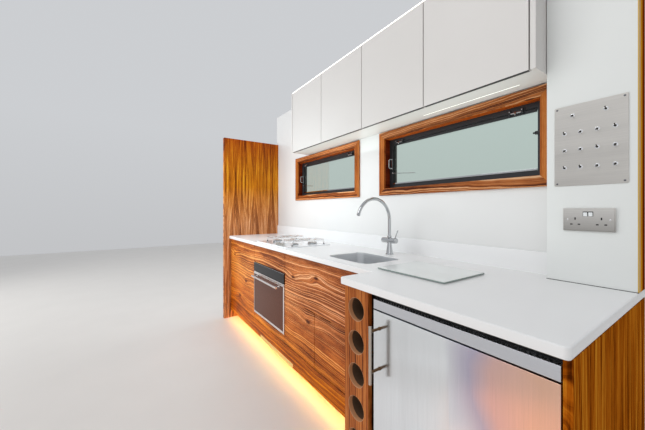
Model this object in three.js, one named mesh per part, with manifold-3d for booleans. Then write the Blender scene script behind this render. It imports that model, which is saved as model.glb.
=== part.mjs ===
// Fitted galley along one side of a houseboat cabin: the cabin side with two
// windows, base cupboards in walnut, a solid surface worktop with sink, tap and
// hob, an oven, an undercounter fridge, a wine rack and white wall cupboards.
// Millimetres. X runs along the galley, Y from the cabin into its side, Z up.
// The origin is on the cabin floor, in the middle of the footprint.
import * as THREE from 'three';
import { mergeVertices } from 'three/addons/utils/BufferGeometryUtils.js';
import Module from 'manifold-3d';

const wasm = await Module();
wasm.setup();

// Driving dimensions
const RUN_LENGTH = 3032;
const CABIN_HEIGHT = 2314;
const HALF_DEPTH = 450;
const SIDE_THICKNESS = 90;
const SKIN_THICKNESS = 6;
const SKIN_TRIM = 8;
const WORKTOP_TOP = 900;
const WORKTOP_THICKNESS = 30;
const WORKTOP_EDGE = 5;
const BOARD = 18;
const FRONT_BOARD = 20;
const SEAM = 5;
const REVEAL_GAP = 3;
const SEAT = 0.3;

// Places along the run
const NEAR_END = RUN_LENGTH / 2;
const FAR_END = -NEAR_END;
const BULKHEAD_THICKNESS = 40;
const BULKHEAD_FACE = FAR_END + BULKHEAD_THICKNESS;
const FRIDGE_NEAR = 1495;
const FRIDGE_FAR = 933;
const RACK_NEAR = 904;
const RACK_FAR = 762;
const CORNER_FAR = 630;
const OVEN_NEAR = -166;
const OVEN_WIDTH = 595;
const OVEN_FAR = OVEN_NEAR - OVEN_WIDTH;

// Places across the run
const WALL = HALF_DEPTH - SIDE_THICKNESS;
const SKIN_FACE = HALF_DEPTH - SKIN_TRIM;
const NEAR_EDGE = -417;
const FAR_EDGE = -231;
const NEAR_FRONT = -397;
const FAR_FRONT = -214;
const CARCASS_FRONT = FAR_FRONT + FRONT_BOARD + SEAT;
const BULKHEAD_FRONT = -288;

// Heights
const UNDERSIDE = WORKTOP_TOP - WORKTOP_THICKNESS;
const FRONT_TOP = 866;
const BAND_BOTTOM = 88;
const BAND_TOP = 208;
const DOOR_BOTTOM = BAND_TOP + REVEAL_GAP;
const DRAWER_BOTTOM = 552;
const DOOR_TOP = DRAWER_BOTTOM - SEAM;
const OVEN_BOTTOM = 270;
const OVEN_TOP = 717;
const FRIDGE_TOP = 848;
const CUPBOARD_BOTTOM = 1739;

const WALNUT = { color: 0xa8602c, roughness: 0.45, metalness: 0 };
const WHITE_BOARD = { color: 0xe6e4e0, roughness: 0.4, metalness: 0 };
const WHITE_GLOSS = { color: 0xf2f1ef, roughness: 0.15, metalness: 0 };
const STEEL = { color: 0xa9abad, roughness: 0.35, metalness: 1 };
const CHROME = { color: 0xc9cbcc, roughness: 0.08, metalness: 1 };
const BLACK_GLASS = { color: 0x0c0c0e, roughness: 0.06, metalness: 0 };
const BLACK_METAL = { color: 0x17181a, roughness: 0.4, metalness: 0.6 };
const CLEAR_GLASS = { color: 0xa9c4bd, roughness: 0.03, metalness: 0 };
const HULL_PAINT = { color: 0x1f3d36, roughness: 0.35, metalness: 0.2 };
const DARK_PLASTIC = { color: 0x1b1b1c, roughness: 0.6, metalness: 0 };
const INNER_PLASTIC = { color: 0xe9ebec, roughness: 0.35, metalness: 0 };
const DRAWER_BIRCH = { color: 0xd8bd92, roughness: 0.5, metalness: 0 };

const galley = new THREE.Group();

function add(name, geometry, finish) {
  const mesh = new THREE.Mesh(geometry, new THREE.MeshStandardMaterial(finish));
  mesh.name = name;
  galley.add(mesh);
  return mesh;
}

// A box between two values along each axis, given in either order.
function block([x0, x1], [y0, y1], [z0, z1]) {
  const size = [Math.abs(x1 - x0), Math.abs(y1 - y0), Math.abs(z1 - z0)];
  const geometry = new THREE.BoxGeometry(...size);
  return geometry.translate((x0 + x1) / 2, (y0 + y1) / 2, (z0 + z1) / 2);
}

// A rectangle with round corners, counterclockwise, as a shape or as a hole.
function roundedOutline(outline, x0, x1, y0, y1, radius) {
  outline.moveTo(x0 + radius, y0);
  outline.lineTo(x1 - radius, y0);
  outline.absarc(x1 - radius, y0 + radius, radius, -Math.PI / 2, 0, false);
  outline.lineTo(x1, y1 - radius);
  outline.absarc(x1 - radius, y1 - radius, radius, 0, Math.PI / 2, false);
  outline.lineTo(x0 + radius, y1);
  outline.absarc(x0 + radius, y1 - radius, radius, Math.PI / 2, Math.PI, false);
  outline.lineTo(x0, y0 + radius);
  outline.absarc(x0 + radius, y0 + radius, radius, Math.PI, Math.PI * 1.5, false);
  return outline;
}

function polygon(points) {
  return new THREE.Shape(points.map(([x, y]) => new THREE.Vector2(x, y)));
}

// A shape drawn in X and Y, raised from z0 to z1.
function raise(shape, z0, z1, curveSegments = 6) {
  const options = { depth: z1 - z0, bevelEnabled: false, curveSegments };
  return new THREE.ExtrudeGeometry(shape, options).translate(0, 0, z0);
}

// A shape drawn in X and Z, as thick as from y0 to y1.
function upright(shape, y0, y1, curveSegments = 6) {
  const options = { depth: y1 - y0, bevelEnabled: false, curveSegments };
  return new THREE.ExtrudeGeometry(shape, options).rotateX(Math.PI / 2).translate(0, y1, 0);
}

// A cylinder from one point to another.
function rod(from, to, radius, sides = 16, endRadius = radius) {
  const start = new THREE.Vector3(...from);
  const span = new THREE.Vector3(...to).sub(start);
  const geometry = new THREE.CylinderGeometry(endRadius, radius, span.length(), sides);
  geometry.translate(0, span.length() / 2, 0);
  const turn = new THREE.Quaternion();
  turn.setFromUnitVectors(new THREE.Vector3(0, 1, 0), span.clone().normalize());
  return geometry.applyQuaternion(turn).translate(...from);
}

function solid(geometry) {
  const plain = geometry.clone();
  plain.deleteAttribute('normal');
  plain.deleteAttribute('uv');
  const merged = mergeVertices(plain);
  const vertProperties = new Float32Array(merged.attributes.position.array);
  const triVerts = new Uint32Array(merged.index.array);
  return new wasm.Manifold(new wasm.Mesh({ numProp: 3, vertProperties, triVerts }));
}

function surface(manifold) {
  const mesh = manifold.getMesh();
  const geometry = new THREE.BufferGeometry();
  geometry.setAttribute('position', new THREE.BufferAttribute(mesh.vertProperties, 3));
  geometry.setIndex(new THREE.BufferAttribute(mesh.triVerts, 1));
  geometry.computeVertexNormals();
  return geometry;
}

function join(...geometries) {
  return surface(geometries.map(solid).reduce((whole, next) => whole.add(next)));
}

function cut(geometry, ...cutters) {
  return surface(cutters.map(solid).reduce((rest, next) => rest.subtract(next), solid(geometry)));
}

// Cabin side and windows

const WINDOW = { width: 1028, bottom: 1285, top: 1733, bar: 50, proud: 15, liner: 12 };
const WINDOWS = [
  { name: 'near', middle: 743 },
  { name: 'far', middle: -508 },
];
const FIT = 0.5;
const VENT_FRONT = WALL + 42;
const VENT_BAR = 27;
const FLANGE_INSET = 28;
const DRIP_RAIL = { over: 20, bottom: 1716, top: 1722 };
const BELT_RAIL = { bottom: 1100, top: 1150 };
const GLASS_FRONT = VENT_FRONT + 12;
const GLASS_THICKNESS = 8;
const REBATE = 9;

// The outline of a window, grown or shrunk by an inset on every side.
function windowOutline(outline, middle, inset) {
  const x0 = middle - WINDOW.width / 2 + inset;
  const x1 = middle + WINDOW.width / 2 - inset;
  const z0 = WINDOW.bottom + inset;
  const z1 = WINDOW.top - inset;
  outline.moveTo(x0, z0);
  outline.lineTo(x1, z0);
  outline.lineTo(x1, z1);
  outline.lineTo(x0, z1);
  outline.closePath();
  return outline;
}

// A flat ring around a window between two insets.
function windowRing(middle, outer, inner, y0, y1) {
  const shape = windowOutline(new THREE.Shape(), middle, outer);
  shape.holes.push(windowOutline(new THREE.Path(), middle, inner));
  return upright(shape, y0, y1);
}

// A sheet of the cabin side with a hole for each window.
function sheetWithWindows(y0, y1, inset) {
  const sheet = block([FAR_END, NEAR_END], [y0, y1], [0, CABIN_HEIGHT]);
  const holes = WINDOWS.map(({ middle }) => {
    const outline = windowOutline(new THREE.Shape(), middle, inset);
    return upright(outline, y0 - 1, y1 + 1);
  });
  return cut(sheet, ...holes);
}

// The steel skin carries a belt rail along its whole length, and over each window
// a rail that throws off the rain.
function cabinSide() {
  const skinStart = SKIN_FACE - SKIN_THICKNESS;
  const linerHole = WINDOW.bar - WINDOW.liner - FIT;
  add('cabin_side', sheetWithWindows(WALL, skinStart, linerHole), WHITE_GLOSS);
  const rails = WINDOWS.map(({ middle }) => {
    const reach = WINDOW.width / 2 + DRIP_RAIL.over;
    const across = [middle - reach, middle + reach];
    return block(across, [SKIN_FACE - 1, HALF_DEPTH], [DRIP_RAIL.bottom, DRIP_RAIL.top]);
  });
  const beltHeights = [BELT_RAIL.bottom, BELT_RAIL.top];
  const belt = block([FAR_END, NEAR_END], [SKIN_FACE - 1, HALF_DEPTH], beltHeights);
  const skin = sheetWithWindows(skinStart, SKIN_FACE, WINDOW.bar);
  add('outer_skin', join(skin, belt, ...rails), HULL_PAINT);
}

function windows() {
  const linerStart = WINDOW.bar - WINDOW.liner;
  const linerEnd = SKIN_FACE - SKIN_THICKNESS - SEAT;
  for (const { name, middle } of WINDOWS) {
    const face = windowRing(middle, 0, WINDOW.bar, WALL - WINDOW.proud, WALL);
    const liner = windowRing(middle, linerStart, WINDOW.bar, WALL - WINDOW.proud, linerEnd);
    add(`window_frame_${name}`, join(face, liner), WALNUT);
    const seat = WINDOW.bar + SEAT;
    const inner = seat + VENT_BAR;
    const sash = windowRing(middle, seat, inner, VENT_FRONT, HALF_DEPTH);
    const flange = windowRing(middle, FLANGE_INSET, inner, SKIN_FACE + SEAT, HALF_DEPTH);
    const vent = join(sash, flange);
    const glassEnd = GLASS_FRONT + GLASS_THICKNESS;
    const rebate = windowRing(middle, inner - REBATE, inner + 5, GLASS_FRONT, glassEnd);
    add(`window_vent_${name}`, cut(vent, rebate), BLACK_METAL);
    const pane = windowOutline(new THREE.Shape(), middle, inner - REBATE + SEAT);
    const paneSpan = [GLASS_FRONT + SEAT, glassEnd - SEAT];
    add(`window_glass_${name}`, upright(pane, ...paneSpan), CLEAR_GLASS);
  }
}

// Service column with its switches and socket

const COLUMN = { far: 1258, front: 266, board: 18 };
// The column is a white board on two legs, the near one a walnut end panel.
const SWITCH_PLATE = { middle: 1388, height: 1431, width: 207, tall: 312, thickness: 3 };
const SWITCH_ROWS = [
  { height: 1546, offsets: [-47, 47] },
  { height: 1479, offsets: [-71, -23.5, 23.5, 71] },
  { height: 1413, offsets: [-71, -23.5, 23.5, 71] },
  { height: 1345, offsets: [-71, -23.5, 23.5, 71] },
];
const TOGGLE = { nutRadius: 7, nutDepth: 3, leverRadius: 2.4, leverReach: 15, lift: 4 };
const SOCKET = { middle: 1387, height: 1145, width: 146, tall: 86, thickness: 8 };
const ROCKER = { offset: 7.5, width: 12, bottom: 13, top: 29, proud: 2 };
const PIN_HOLES = [
  { x: 0, z: 13, wide: 4, tall: 8 },
  { x: -11, z: -9, wide: 7, tall: 4 },
  { x: 11, z: -9, wide: 7, tall: 4 },
];

function serviceColumn() {
  const { far, front, board } = COLUMN;
  const back = front + board;
  const outline = polygon([
    [far, front], [NEAR_END, front], [NEAR_END, back], [far + board, back],
    [far + board, WALL], [far, WALL],
  ]);
  add('service_column', raise(outline, WORKTOP_TOP, CABIN_HEIGHT), WHITE_BOARD);
  const across = [NEAR_END - board, NEAR_END];
  const end = block(across, [back + SEAT, WALL], [WORKTOP_TOP, CABIN_HEIGHT]);
  add('column_end_panel', end, WALNUT);
}

function switchPlate() {
  const { middle, height, width, tall, thickness } = SWITCH_PLATE;
  const front = COLUMN.front - thickness;
  const half = width / 2;
  const outline = roundedOutline(
    new THREE.Shape(), middle - half, middle + half, height - tall / 2, height + tall / 2, 4,
  );
  const pieces = [upright(outline, front, COLUMN.front, 2)];
  for (const row of SWITCH_ROWS) {
    for (const offset of row.offsets) {
      const x = middle + offset;
      const nutFace = front - TOGGLE.nutDepth;
      const tip = [x, nutFace - TOGGLE.leverReach, row.height + TOGGLE.lift];
      pieces.push(rod([x, front + 1, row.height], [x, nutFace, row.height], TOGGLE.nutRadius, 8));
      pieces.push(rod([x, front, row.height], tip, TOGGLE.leverRadius, 6));
    }
  }
  add('switch_plate', join(...pieces), STEEL);
}

function socketOutlet() {
  const { middle, height, width, tall, thickness } = SOCKET;
  const front = COLUMN.front - thickness;
  const half = width / 2;
  const outline = roundedOutline(
    new THREE.Shape(), middle - half, middle + half, height - tall / 2, height + tall / 2, 2,
  );
  const plate = upright(outline, front, COLUMN.front, 3);
  const cutters = [];
  for (const outlet of [-37, 37]) {
    for (const { x, z, wide, tall: slot } of PIN_HOLES) {
      const centre = middle + outlet + x;
      const level = height - 9 + z;
      const across = [centre - wide / 2, centre + wide / 2];
      cutters.push(block(across, [front - 1, front + 5], [level - slot / 2, level + slot / 2]));
    }
  }
  const holed = cut(plate, ...cutters);
  const rockers = [-ROCKER.offset, ROCKER.offset].map((offset) => {
    const x = middle + offset;
    const across = [x - ROCKER.width / 2, x + ROCKER.width / 2];
    const level = [height + ROCKER.bottom, height + ROCKER.top];
    return block(across, [front - ROCKER.proud, front + 1], level);
  });
  add('socket_outlet', join(holed, ...rockers), STEEL);
}

// Worktop, sink, tap, hob and sink cover

const SINK = { x0: 264, x1: 614, y0: -144, y1: 141, radius: 45, depth: 165, wall: 3, flange: 8 };
const UPSTAND = { height: 97, thickness: 12 };
const CORNER_RADIUS = 12;

// The L of the worktop, pulled in by the roundness of its edges.
function worktop() {
  const e = WORKTOP_EDGE;
  const r = CORNER_RADIUS - e;
  const [x0, x1] = [BULKHEAD_FACE + e, NEAR_END - e];
  const step = RACK_FAR - 10 + e;
  const [near, far, back] = [NEAR_EDGE + e, FAR_EDGE + e, WALL - e];
  const outline = new THREE.Shape();
  outline.moveTo(x0, far);
  outline.lineTo(step - r, far);
  outline.absarc(step - r, far - r, r, Math.PI / 2, 0, true);
  outline.lineTo(step, near + r);
  outline.absarc(step + r, near + r, r, Math.PI, Math.PI * 1.5, false);
  outline.lineTo(x1 - r, near);
  outline.absarc(x1 - r, near + r, r, -Math.PI / 2, 0, false);
  outline.lineTo(x1, back);
  outline.lineTo(x0, back);
  const slab = new THREE.ExtrudeGeometry(outline, {
    depth: WORKTOP_THICKNESS - 2 * e,
    bevelThickness: e,
    bevelSize: e,
    bevelSegments: 2,
    curveSegments: 4,
  }).translate(0, 0, UNDERSIDE + e);
  const bowl = roundedOutline(new THREE.Shape(), SINK.x0, SINK.x1, SINK.y0, SINK.y1, SINK.radius);
  const hole = raise(bowl, UNDERSIDE - 1, WORKTOP_TOP + 1);
  const tapHole = rod([TAP.x, TAP.y, UNDERSIDE - 1], [TAP.x, TAP.y, WORKTOP_TOP + 1], 17);
  const upstandTop = WORKTOP_TOP + UPSTAND.height;
  const upstandDepth = [WALL - UPSTAND.thickness, WALL];
  const upstand = block([BULKHEAD_FACE, COLUMN.far - SEAT], upstandDepth, [UNDERSIDE + 10, upstandTop]);
  add('worktop', join(cut(slab, hole, tapHole), upstand), WHITE_GLOSS);
}

function sinkBowl() {
  const { x0, x1, y0, y1, radius, depth, wall, flange } = SINK;
  const rim = UNDERSIDE - SEAT;
  const floor = WORKTOP_TOP - depth;
  const outerShape = roundedOutline(
    new THREE.Shape(), x0 - wall, x1 + wall, y0 - wall, y1 + wall, radius + wall,
  );
  const innerShape = roundedOutline(new THREE.Shape(), x0, x1, y0, y1, radius);
  const lip = roundedOutline(
    new THREE.Shape(), x0 - flange, x1 + flange, y0 - flange, y1 + flange, radius,
  );
  const outlet = [(x0 + x1) / 2, (y0 + y1) / 2];
  const body = join(
    raise(outerShape, floor - wall, rim),
    raise(lip, rim - wall, rim),
    rod([...outlet, floor - 45], [...outlet, floor - wall + 1], 27),
  );
  const strainer = rod([...outlet, floor - 4], [...outlet, floor + 1], 40, 24);
  const recess = rod([...outlet, floor - 9], [...outlet, floor - wall + 0.5], 44, 24);
  const shell = join(body, recess);
  add('sink_bowl', cut(shell, raise(innerShape, floor, rim + 1), strainer), STEEL);
}

const TAP = { x: 442, y: 222, footRadius: 25, baseTop: 975, bodyRadius: 17.5, bodyHeight: 989 };
const TAP_STEM = { bottom: 22, top: 14, neck: 12 };
const SPOUT = { radius: 10, arcRadius: 133, arcHeight: 1117, sweep: 166 };

function tapBody() {
  const { x, y, footRadius, baseTop, bodyRadius, bodyHeight } = TAP;
  const [far, near] = [x - 57, x + 57];
  const base = rod([x, y, WORKTOP_TOP], [x, y, WORKTOP_TOP + 6], footRadius, 24);
  const stemSpan = [[x, y, WORKTOP_TOP + 4], [x, y, baseTop]];
  const stem = rod(...stemSpan, TAP_STEM.bottom, 24, TAP_STEM.top);
  const stud = rod([x, y, UNDERSIDE - 25], [x, y, WORKTOP_TOP + 4], 15);
  const neck = rod([x, y, baseTop - 4], [x, y, bodyHeight], TAP_STEM.neck, 20);
  const body = rod([far, y, bodyHeight], [near, y, bodyHeight], bodyRadius, 20);
  const lever = rod([near - 12, y, bodyHeight], [near + 18, y - 6, bodyHeight + 66], 4.5, 10, 3.5);
  add('tap_body', join(base, stem, stud, neck, body, lever), CHROME);
}

// The riser and its arc, swept as one round tube that leans over the bowl.
function tapSpout() {
  const { x, y, bodyHeight, bodyRadius } = TAP;
  const foot = bodyHeight + bodyRadius + SEAT;
  const riser = new THREE.LineCurve3(
    new THREE.Vector3(x, y, foot), new THREE.Vector3(x, y, SPOUT.arcHeight),
  );
  const path = new THREE.CurvePath();
  path.add(riser);
  const steps = 16;
  const turn = (SPOUT.sweep * Math.PI) / 180 / steps;
  const arcPoint = (i) => new THREE.Vector3(
    x,
    y - SPOUT.arcRadius * (1 - Math.cos(i * turn)),
    SPOUT.arcHeight + SPOUT.arcRadius * Math.sin(i * turn),
  );
  for (let i = 0; i < steps; i += 1) {
    path.add(new THREE.LineCurve3(arcPoint(i), arcPoint(i + 1)));
  }
  const section = new THREE.Shape();
  section.absarc(0, 0, SPOUT.radius, 0, Math.PI * 2, false);
  const tube = new THREE.ExtrudeGeometry(section, {
    steps: 72, extrudePath: path, curveSegments: 6, bevelEnabled: false,
  });
  const collar = rod([x, y, foot], [x, y, foot + 12], 14, 20);
  add('tap_spout', join(tube, collar), CHROME);
}

const HOB = { middleX: -464, middleY: 2, width: 580, depth: 400, thickness: 6 };
const BURNER_ROWS = [-52, 106];
const BURNER_COLUMNS = [-165, 165];
const BURNERS = [
  { dx: BURNER_COLUMNS[1], dy: BURNER_ROWS[0], radius: 28 },
  { dx: BURNER_COLUMNS[1], dy: BURNER_ROWS[1], radius: 42 },
  { dx: BURNER_COLUMNS[0], dy: BURNER_ROWS[0], radius: 42 },
  { dx: BURNER_COLUMNS[0], dy: BURNER_ROWS[1], radius: 34 },
];
const KNOBS = [78, 113, 148, 183];
const KNOB = { radius: 13, inset: 30, height: 22 };
const SUPPORT = { reach: 76, height: 38, bar: 8, gap: 26 };

function hob() {
  const top = WORKTOP_TOP + HOB.thickness;
  const [x0, x1] = [HOB.middleX - HOB.width / 2, HOB.middleX + HOB.width / 2];
  const [y0, y1] = [HOB.middleY - HOB.depth / 2, HOB.middleY + HOB.depth / 2];
  const plate = raise(roundedOutline(new THREE.Shape(), x0, x1, y0, y1, 10), WORKTOP_TOP, top, 3);
  const pieces = [plate];
  for (const { dx, dy, radius } of BURNERS) {
    const place = [HOB.middleX + dx, HOB.middleY + dy];
    pieces.push(rod([...place, top - 1], [...place, top + 10], radius, 20, radius - 4));
    pieces.push(rod([...place, top + 9], [...place, top + 17], radius - 8, 20, radius - 10));
  }
  for (const offset of KNOBS) {
    const place = [HOB.middleX + offset, y0 + KNOB.inset];
    pieces.push(rod([...place, top - 1], [...place, top + KNOB.height], KNOB.radius, 16, KNOB.radius - 2));
  }
  add('hob', join(...pieces), WHITE_GLOSS);
}

// One frame over the front and the rear burner of each side, with a finger
// towards the middle of a burner from either long bar.
function panSupports() {
  const { reach, height, bar, gap } = SUPPORT;
  const rest = WORKTOP_TOP + HOB.thickness;
  const top = rest + height;
  const level = [top - bar, top];
  const through = [top - bar - 1, top + 1];
  const [y0, y1] = [HOB.middleY + BURNER_ROWS[0] - reach, HOB.middleY + BURNER_ROWS[1] + reach];
  const split = (y0 + y1) / 2;
  for (const [name, dx] of [['far', BURNER_COLUMNS[0]], ['near', BURNER_COLUMNS[1]]]) {
    const x = HOB.middleX + dx;
    const [x0, x1] = [x - reach, x + reach];
    const cells = [];
    for (const [start, burner, end] of [
      [y0 + bar, HOB.middleY + BURNER_ROWS[0], split - bar / 2],
      [split + bar / 2, HOB.middleY + BURNER_ROWS[1], y1 - bar],
    ]) {
      const cell = polygon([
        [x0 + bar, start], [x1 - bar, start],
        [x1 - bar, burner - bar / 2], [x + gap, burner - bar / 2],
        [x + gap, burner + bar / 2], [x1 - bar, burner + bar / 2],
        [x1 - bar, end], [x0 + bar, end],
        [x0 + bar, burner + bar / 2], [x - gap, burner + bar / 2],
        [x - gap, burner - bar / 2], [x0 + bar, burner - bar / 2],
      ]);
      cells.push(raise(cell, ...through));
    }
    const frame = cut(block([x0, x1], [y0, y1], level), ...cells);
    const feet = [];
    for (const fx of [x0, x1 - bar]) {
      for (const fy of [y0, y1 - bar]) {
        feet.push(block([fx, fx + bar], [fy, fy + bar], [rest, top - bar]));
      }
    }
    add(`pan_support_${name}`, join(frame, ...feet), STEEL);
  }
}

const COVER = { x0: 729, x1: 1079, y0: -174, y1: 129, thickness: 8, radius: 6 };

function sinkCover() {
  const { x0, x1, y0, y1, thickness, radius } = COVER;
  const outline = roundedOutline(new THREE.Shape(), x0, x1, y0, y1, radius);
  add('sink_cover', raise(outline, WORKTOP_TOP, WORKTOP_TOP + thickness), WHITE_GLOSS);
}

// Base cupboards

const DIVIDERS = [
  { name: 'sink', middle: CORNER_FAR + REVEAL_GAP },
  { name: 'oven_near', middle: OVEN_NEAR + SEAM / 2 },
  { name: 'oven_far', middle: OVEN_FAR - SEAM / 2 },
  { name: 'bulkhead', middle: BULKHEAD_FACE + BOARD / 2 },
];
const GRILLE = { x0: -617, x1: -41, bottom: 93, tall: 22, proud: 2, depth: 12 };
const PLINTH = { front: -125, board: 18 };

function baseCarcass() {
  const floor = [BAND_TOP - BOARD, BAND_TOP];
  const depth = [CARCASS_FRONT, WALL];
  add('base_floor', block([BULKHEAD_FACE, RACK_FAR], depth, floor), WHITE_BOARD);
  for (const { name, middle } of DIVIDERS) {
    const across = [middle - BOARD / 2, middle + BOARD / 2];
    add(`divider_${name}`, block(across, depth, [BAND_TOP, UNDERSIDE]), WHITE_BOARD);
  }
  const [, ovenNear, ovenFar] = DIVIDERS.map(({ middle }) => middle);
  const shelf = [ovenFar + BOARD / 2, ovenNear - BOARD / 2];
  add('oven_support', block(shelf, depth, [OVEN_BOTTOM - BOARD, OVEN_BOTTOM]), WHITE_BOARD);
  const { front, board } = PLINTH;
  const turn = RACK_FAR + BOARD;
  const rackBack = NEAR_FRONT + FRONT_BOARD + SEAT;
  const outline = polygon([
    [BULKHEAD_FACE, front], [turn, front], [turn, rackBack], [turn + board, rackBack],
    [turn + board, front + board], [BULKHEAD_FACE, front + board],
  ]);
  add('plinth', raise(outline, 0, BAND_TOP - BOARD), DARK_PLASTIC);
}

function bottomBand() {
  const { x0, x1, bottom, tall, proud, depth } = GRILLE;
  const across = [BULKHEAD_FACE, CORNER_FAR];
  const band = block(across, [FAR_FRONT, FAR_FRONT + FRONT_BOARD], [BAND_BOTTOM, BAND_TOP]);
  const slot = block([x0, x1], [FAR_FRONT - 1, FAR_FRONT + FRONT_BOARD + 1], [bottom, bottom + tall]);
  add('bottom_band', cut(band, slot), WALNUT);
  const y = [FAR_FRONT - proud, FAR_FRONT + depth];
  const frame = block([x0 + SEAT, x1 - SEAT], y, [bottom + SEAT, bottom + tall - SEAT]);
  const slots = [];
  const pitch = 12;
  for (let x = x0 + 10; x + 8 < x1 - 6; x += pitch) {
    slots.push(block([x, x + 8], [y[0] - 1, y[0] + 6], [bottom + 5, bottom + tall - 5]));
  }
  add('heater_grille', cut(frame, ...slots), STEEL);
}

// Fixed fronts over and under the oven.
function ovenFronts() {
  const across = [OVEN_FAR, OVEN_NEAR];
  const span = [FAR_FRONT, FAR_FRONT + FRONT_BOARD];
  add('oven_front_above', block(across, span, [OVEN_TOP + SEAM, FRONT_TOP]), WALNUT);
  add('oven_front_below', block(across, span, [DOOR_BOTTOM, OVEN_BOTTOM - SEAM]), WALNUT);
}

// The board beside the wine rack that turns back to the far fronts.
function cornerReturn() {
  const back = FAR_FRONT + FRONT_BOARD;
  const rackBack = NEAR_FRONT + FRONT_BOARD + SEAT;
  const outline = polygon([
    [RACK_FAR, rackBack], [RACK_FAR + BOARD, rackBack], [RACK_FAR + BOARD, back],
    [CORNER_FAR + REVEAL_GAP, back], [CORNER_FAR + REVEAL_GAP, FAR_FRONT], [RACK_FAR, FAR_FRONT],
  ]);
  return raise(outline, BAND_BOTTOM, FRONT_TOP);
}

const RACK_HOLES = { radius: 47.5, top: 780, pitch: 133, count: 5, wall: 3, depth: 330 };

function wineRack() {
  const middle = (RACK_NEAR + RACK_FAR) / 2;
  const back = NEAR_FRONT + FRONT_BOARD;
  const { radius, top, pitch, count, wall, depth } = RACK_HOLES;
  const end = back + depth;
  const holes = [];
  for (let i = 0; i < count; i += 1) {
    const z = top - i * pitch;
    const bore = rod([middle, NEAR_FRONT - 1, z], [middle, end - 2 * wall, z], radius, 24);
    const outer = rod([middle, back, z], [middle, end, z], radius + wall, 24);
    holes.push(bore);
    add(`wine_tube_${i + 1}`, cut(outer, bore), DARK_PLASTIC);
  }
  const front = block([RACK_FAR, RACK_NEAR], [NEAR_FRONT, back], [0, UNDERSIDE]);
  add('wine_rack_front', cut(front, ...holes), WALNUT);
}

function endBoards() {
  const depth = [NEAR_FRONT, WALL];
  add('end_panel', block([NEAR_END - BOARD, NEAR_END], depth, [0, UNDERSIDE]), WALNUT);
  const side = [RACK_NEAR + 2, RACK_NEAR + 2 + BOARD];
  add('fridge_bay_side', block(side, [NEAR_FRONT + 30, WALL], [0, UNDERSIDE]), DARK_PLASTIC);
  const across = [FAR_END, BULKHEAD_FACE];
  add('bulkhead', block(across, [BULKHEAD_FRONT, WALL], [0, 1975]), WALNUT);
}

// Oven

const OVEN = { sleeve: 560, depth: 480, wall: 20, doorTop: 640, doorThickness: 24, proud: 6 };

function oven() {
  const middle = (OVEN_NEAR + OVEN_FAR) / 2;
  const front = FAR_FRONT - OVEN.proud;
  const bodyFront = front + OVEN.doorThickness + SEAT;
  const half = OVEN.sleeve / 2;
  const top = OVEN_TOP - 8;
  const sleeveDepth = [bodyFront, bodyFront + OVEN.depth];
  const sleeve = block([middle - half, middle + half], sleeveDepth, [OVEN_BOTTOM, top]);
  const inside = half - OVEN.wall;
  const cavity = block(
    [middle - inside, middle + inside],
    [bodyFront - 1, bodyFront + OVEN.depth - OVEN.wall],
    [OVEN_BOTTOM + 35, OVEN.doorTop - 25],
  );
  add('oven_body', cut(sleeve, cavity), STEEL);
  const panel = block([OVEN_FAR, OVEN_NEAR], [front, bodyFront], [OVEN.doorTop + 4, OVEN_TOP]);
  add('oven_control_panel', panel, BLACK_GLASS);
  const doorEnd = front + OVEN.doorThickness;
  const leaf = [OVEN_BOTTOM + 4, OVEN.doorTop];
  add('oven_door', block([OVEN_FAR, OVEN_NEAR], [front, doorEnd], leaf), BLACK_GLASS);
  add('oven_handle', barHandle([OVEN_FAR + 50, OVEN_NEAR - 50], OVEN.doorTop - 32, front), STEEL);
}

// A round bar on two posts, lying along X in front of a face.
function barHandle([x0, x1], z, face) {
  const reach = 38;
  const bar = rod([x0, face - reach, z], [x1, face - reach, z], 8);
  const posts = [x0 + 30, x1 - 30].map((x) => rod([x, face - SEAT, z], [x, face - reach, z], 6, 12));
  return join(bar, ...posts);
}

// Fridge

const FRIDGE = { doorTop: 808, doorBottom: 60, doorThickness: 45, wall: 35 };
const FIXING = { offset: 90, width: 40, back: 30 };
const GRIP = { x: 964, bottom: 558, top: 768, posts: [601, 747], radius: 6 };

function fridge() {
  const doorBack = NEAR_FRONT + FRIDGE.doorThickness;
  const front = doorBack + SEAT;
  const across = [FRIDGE_FAR, FRIDGE_NEAR];
  const cabinet = block(across, [front, WALL - 45], [0, FRIDGE_TOP]);
  const cavity = block(
    [FRIDGE_FAR + FRIDGE.wall, FRIDGE_NEAR - FRIDGE.wall],
    [front - 1, WALL - 45 - FRIDGE.wall],
    [FRIDGE.doorBottom + 60, FRIDGE.doorTop - 25],
  );
  const toe = block([FRIDGE_FAR - 1, FRIDGE_NEAR + 1], [front - 1, front + 60], [-1, FRIDGE.doorBottom - 8]);
  const tabs = [FRIDGE_FAR + FIXING.offset, FRIDGE_NEAR - FIXING.offset].map((x) => block(
    [x - FIXING.width / 2, x + FIXING.width / 2],
    [front + FIXING.back, front + FIXING.back + 3],
    [FRIDGE_TOP - 1, UNDERSIDE - SEAT],
  ));
  add('fridge_cabinet', join(cut(cabinet, cavity, toe), ...tabs), INNER_PLASTIC);
  const strip = block(across, [NEAR_FRONT, front], [FRIDGE.doorTop + SEAM, FRIDGE_TOP]);
  add('fridge_control_strip', strip, STEEL);
  const leaf = block(across, [NEAR_FRONT, doorBack], [FRIDGE.doorBottom, FRIDGE.doorTop]);
  add('fridge_door', leaf, STEEL);
  const out = -HALF_DEPTH + GRIP.radius;
  const bar = rod([GRIP.x, out, GRIP.bottom], [GRIP.x, out, GRIP.top], GRIP.radius);
  const posts = GRIP.posts.map((z) => rod([GRIP.x, NEAR_FRONT - SEAT, z], [GRIP.x, out, z], 5, 12));
  add('fridge_handle', join(bar, ...posts), STEEL);
}

// Doors and drawer

const DRAWER = { runner: 13, wall: 15, floor: 12, bottom: 570, top: 672, end: 270 };

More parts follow.
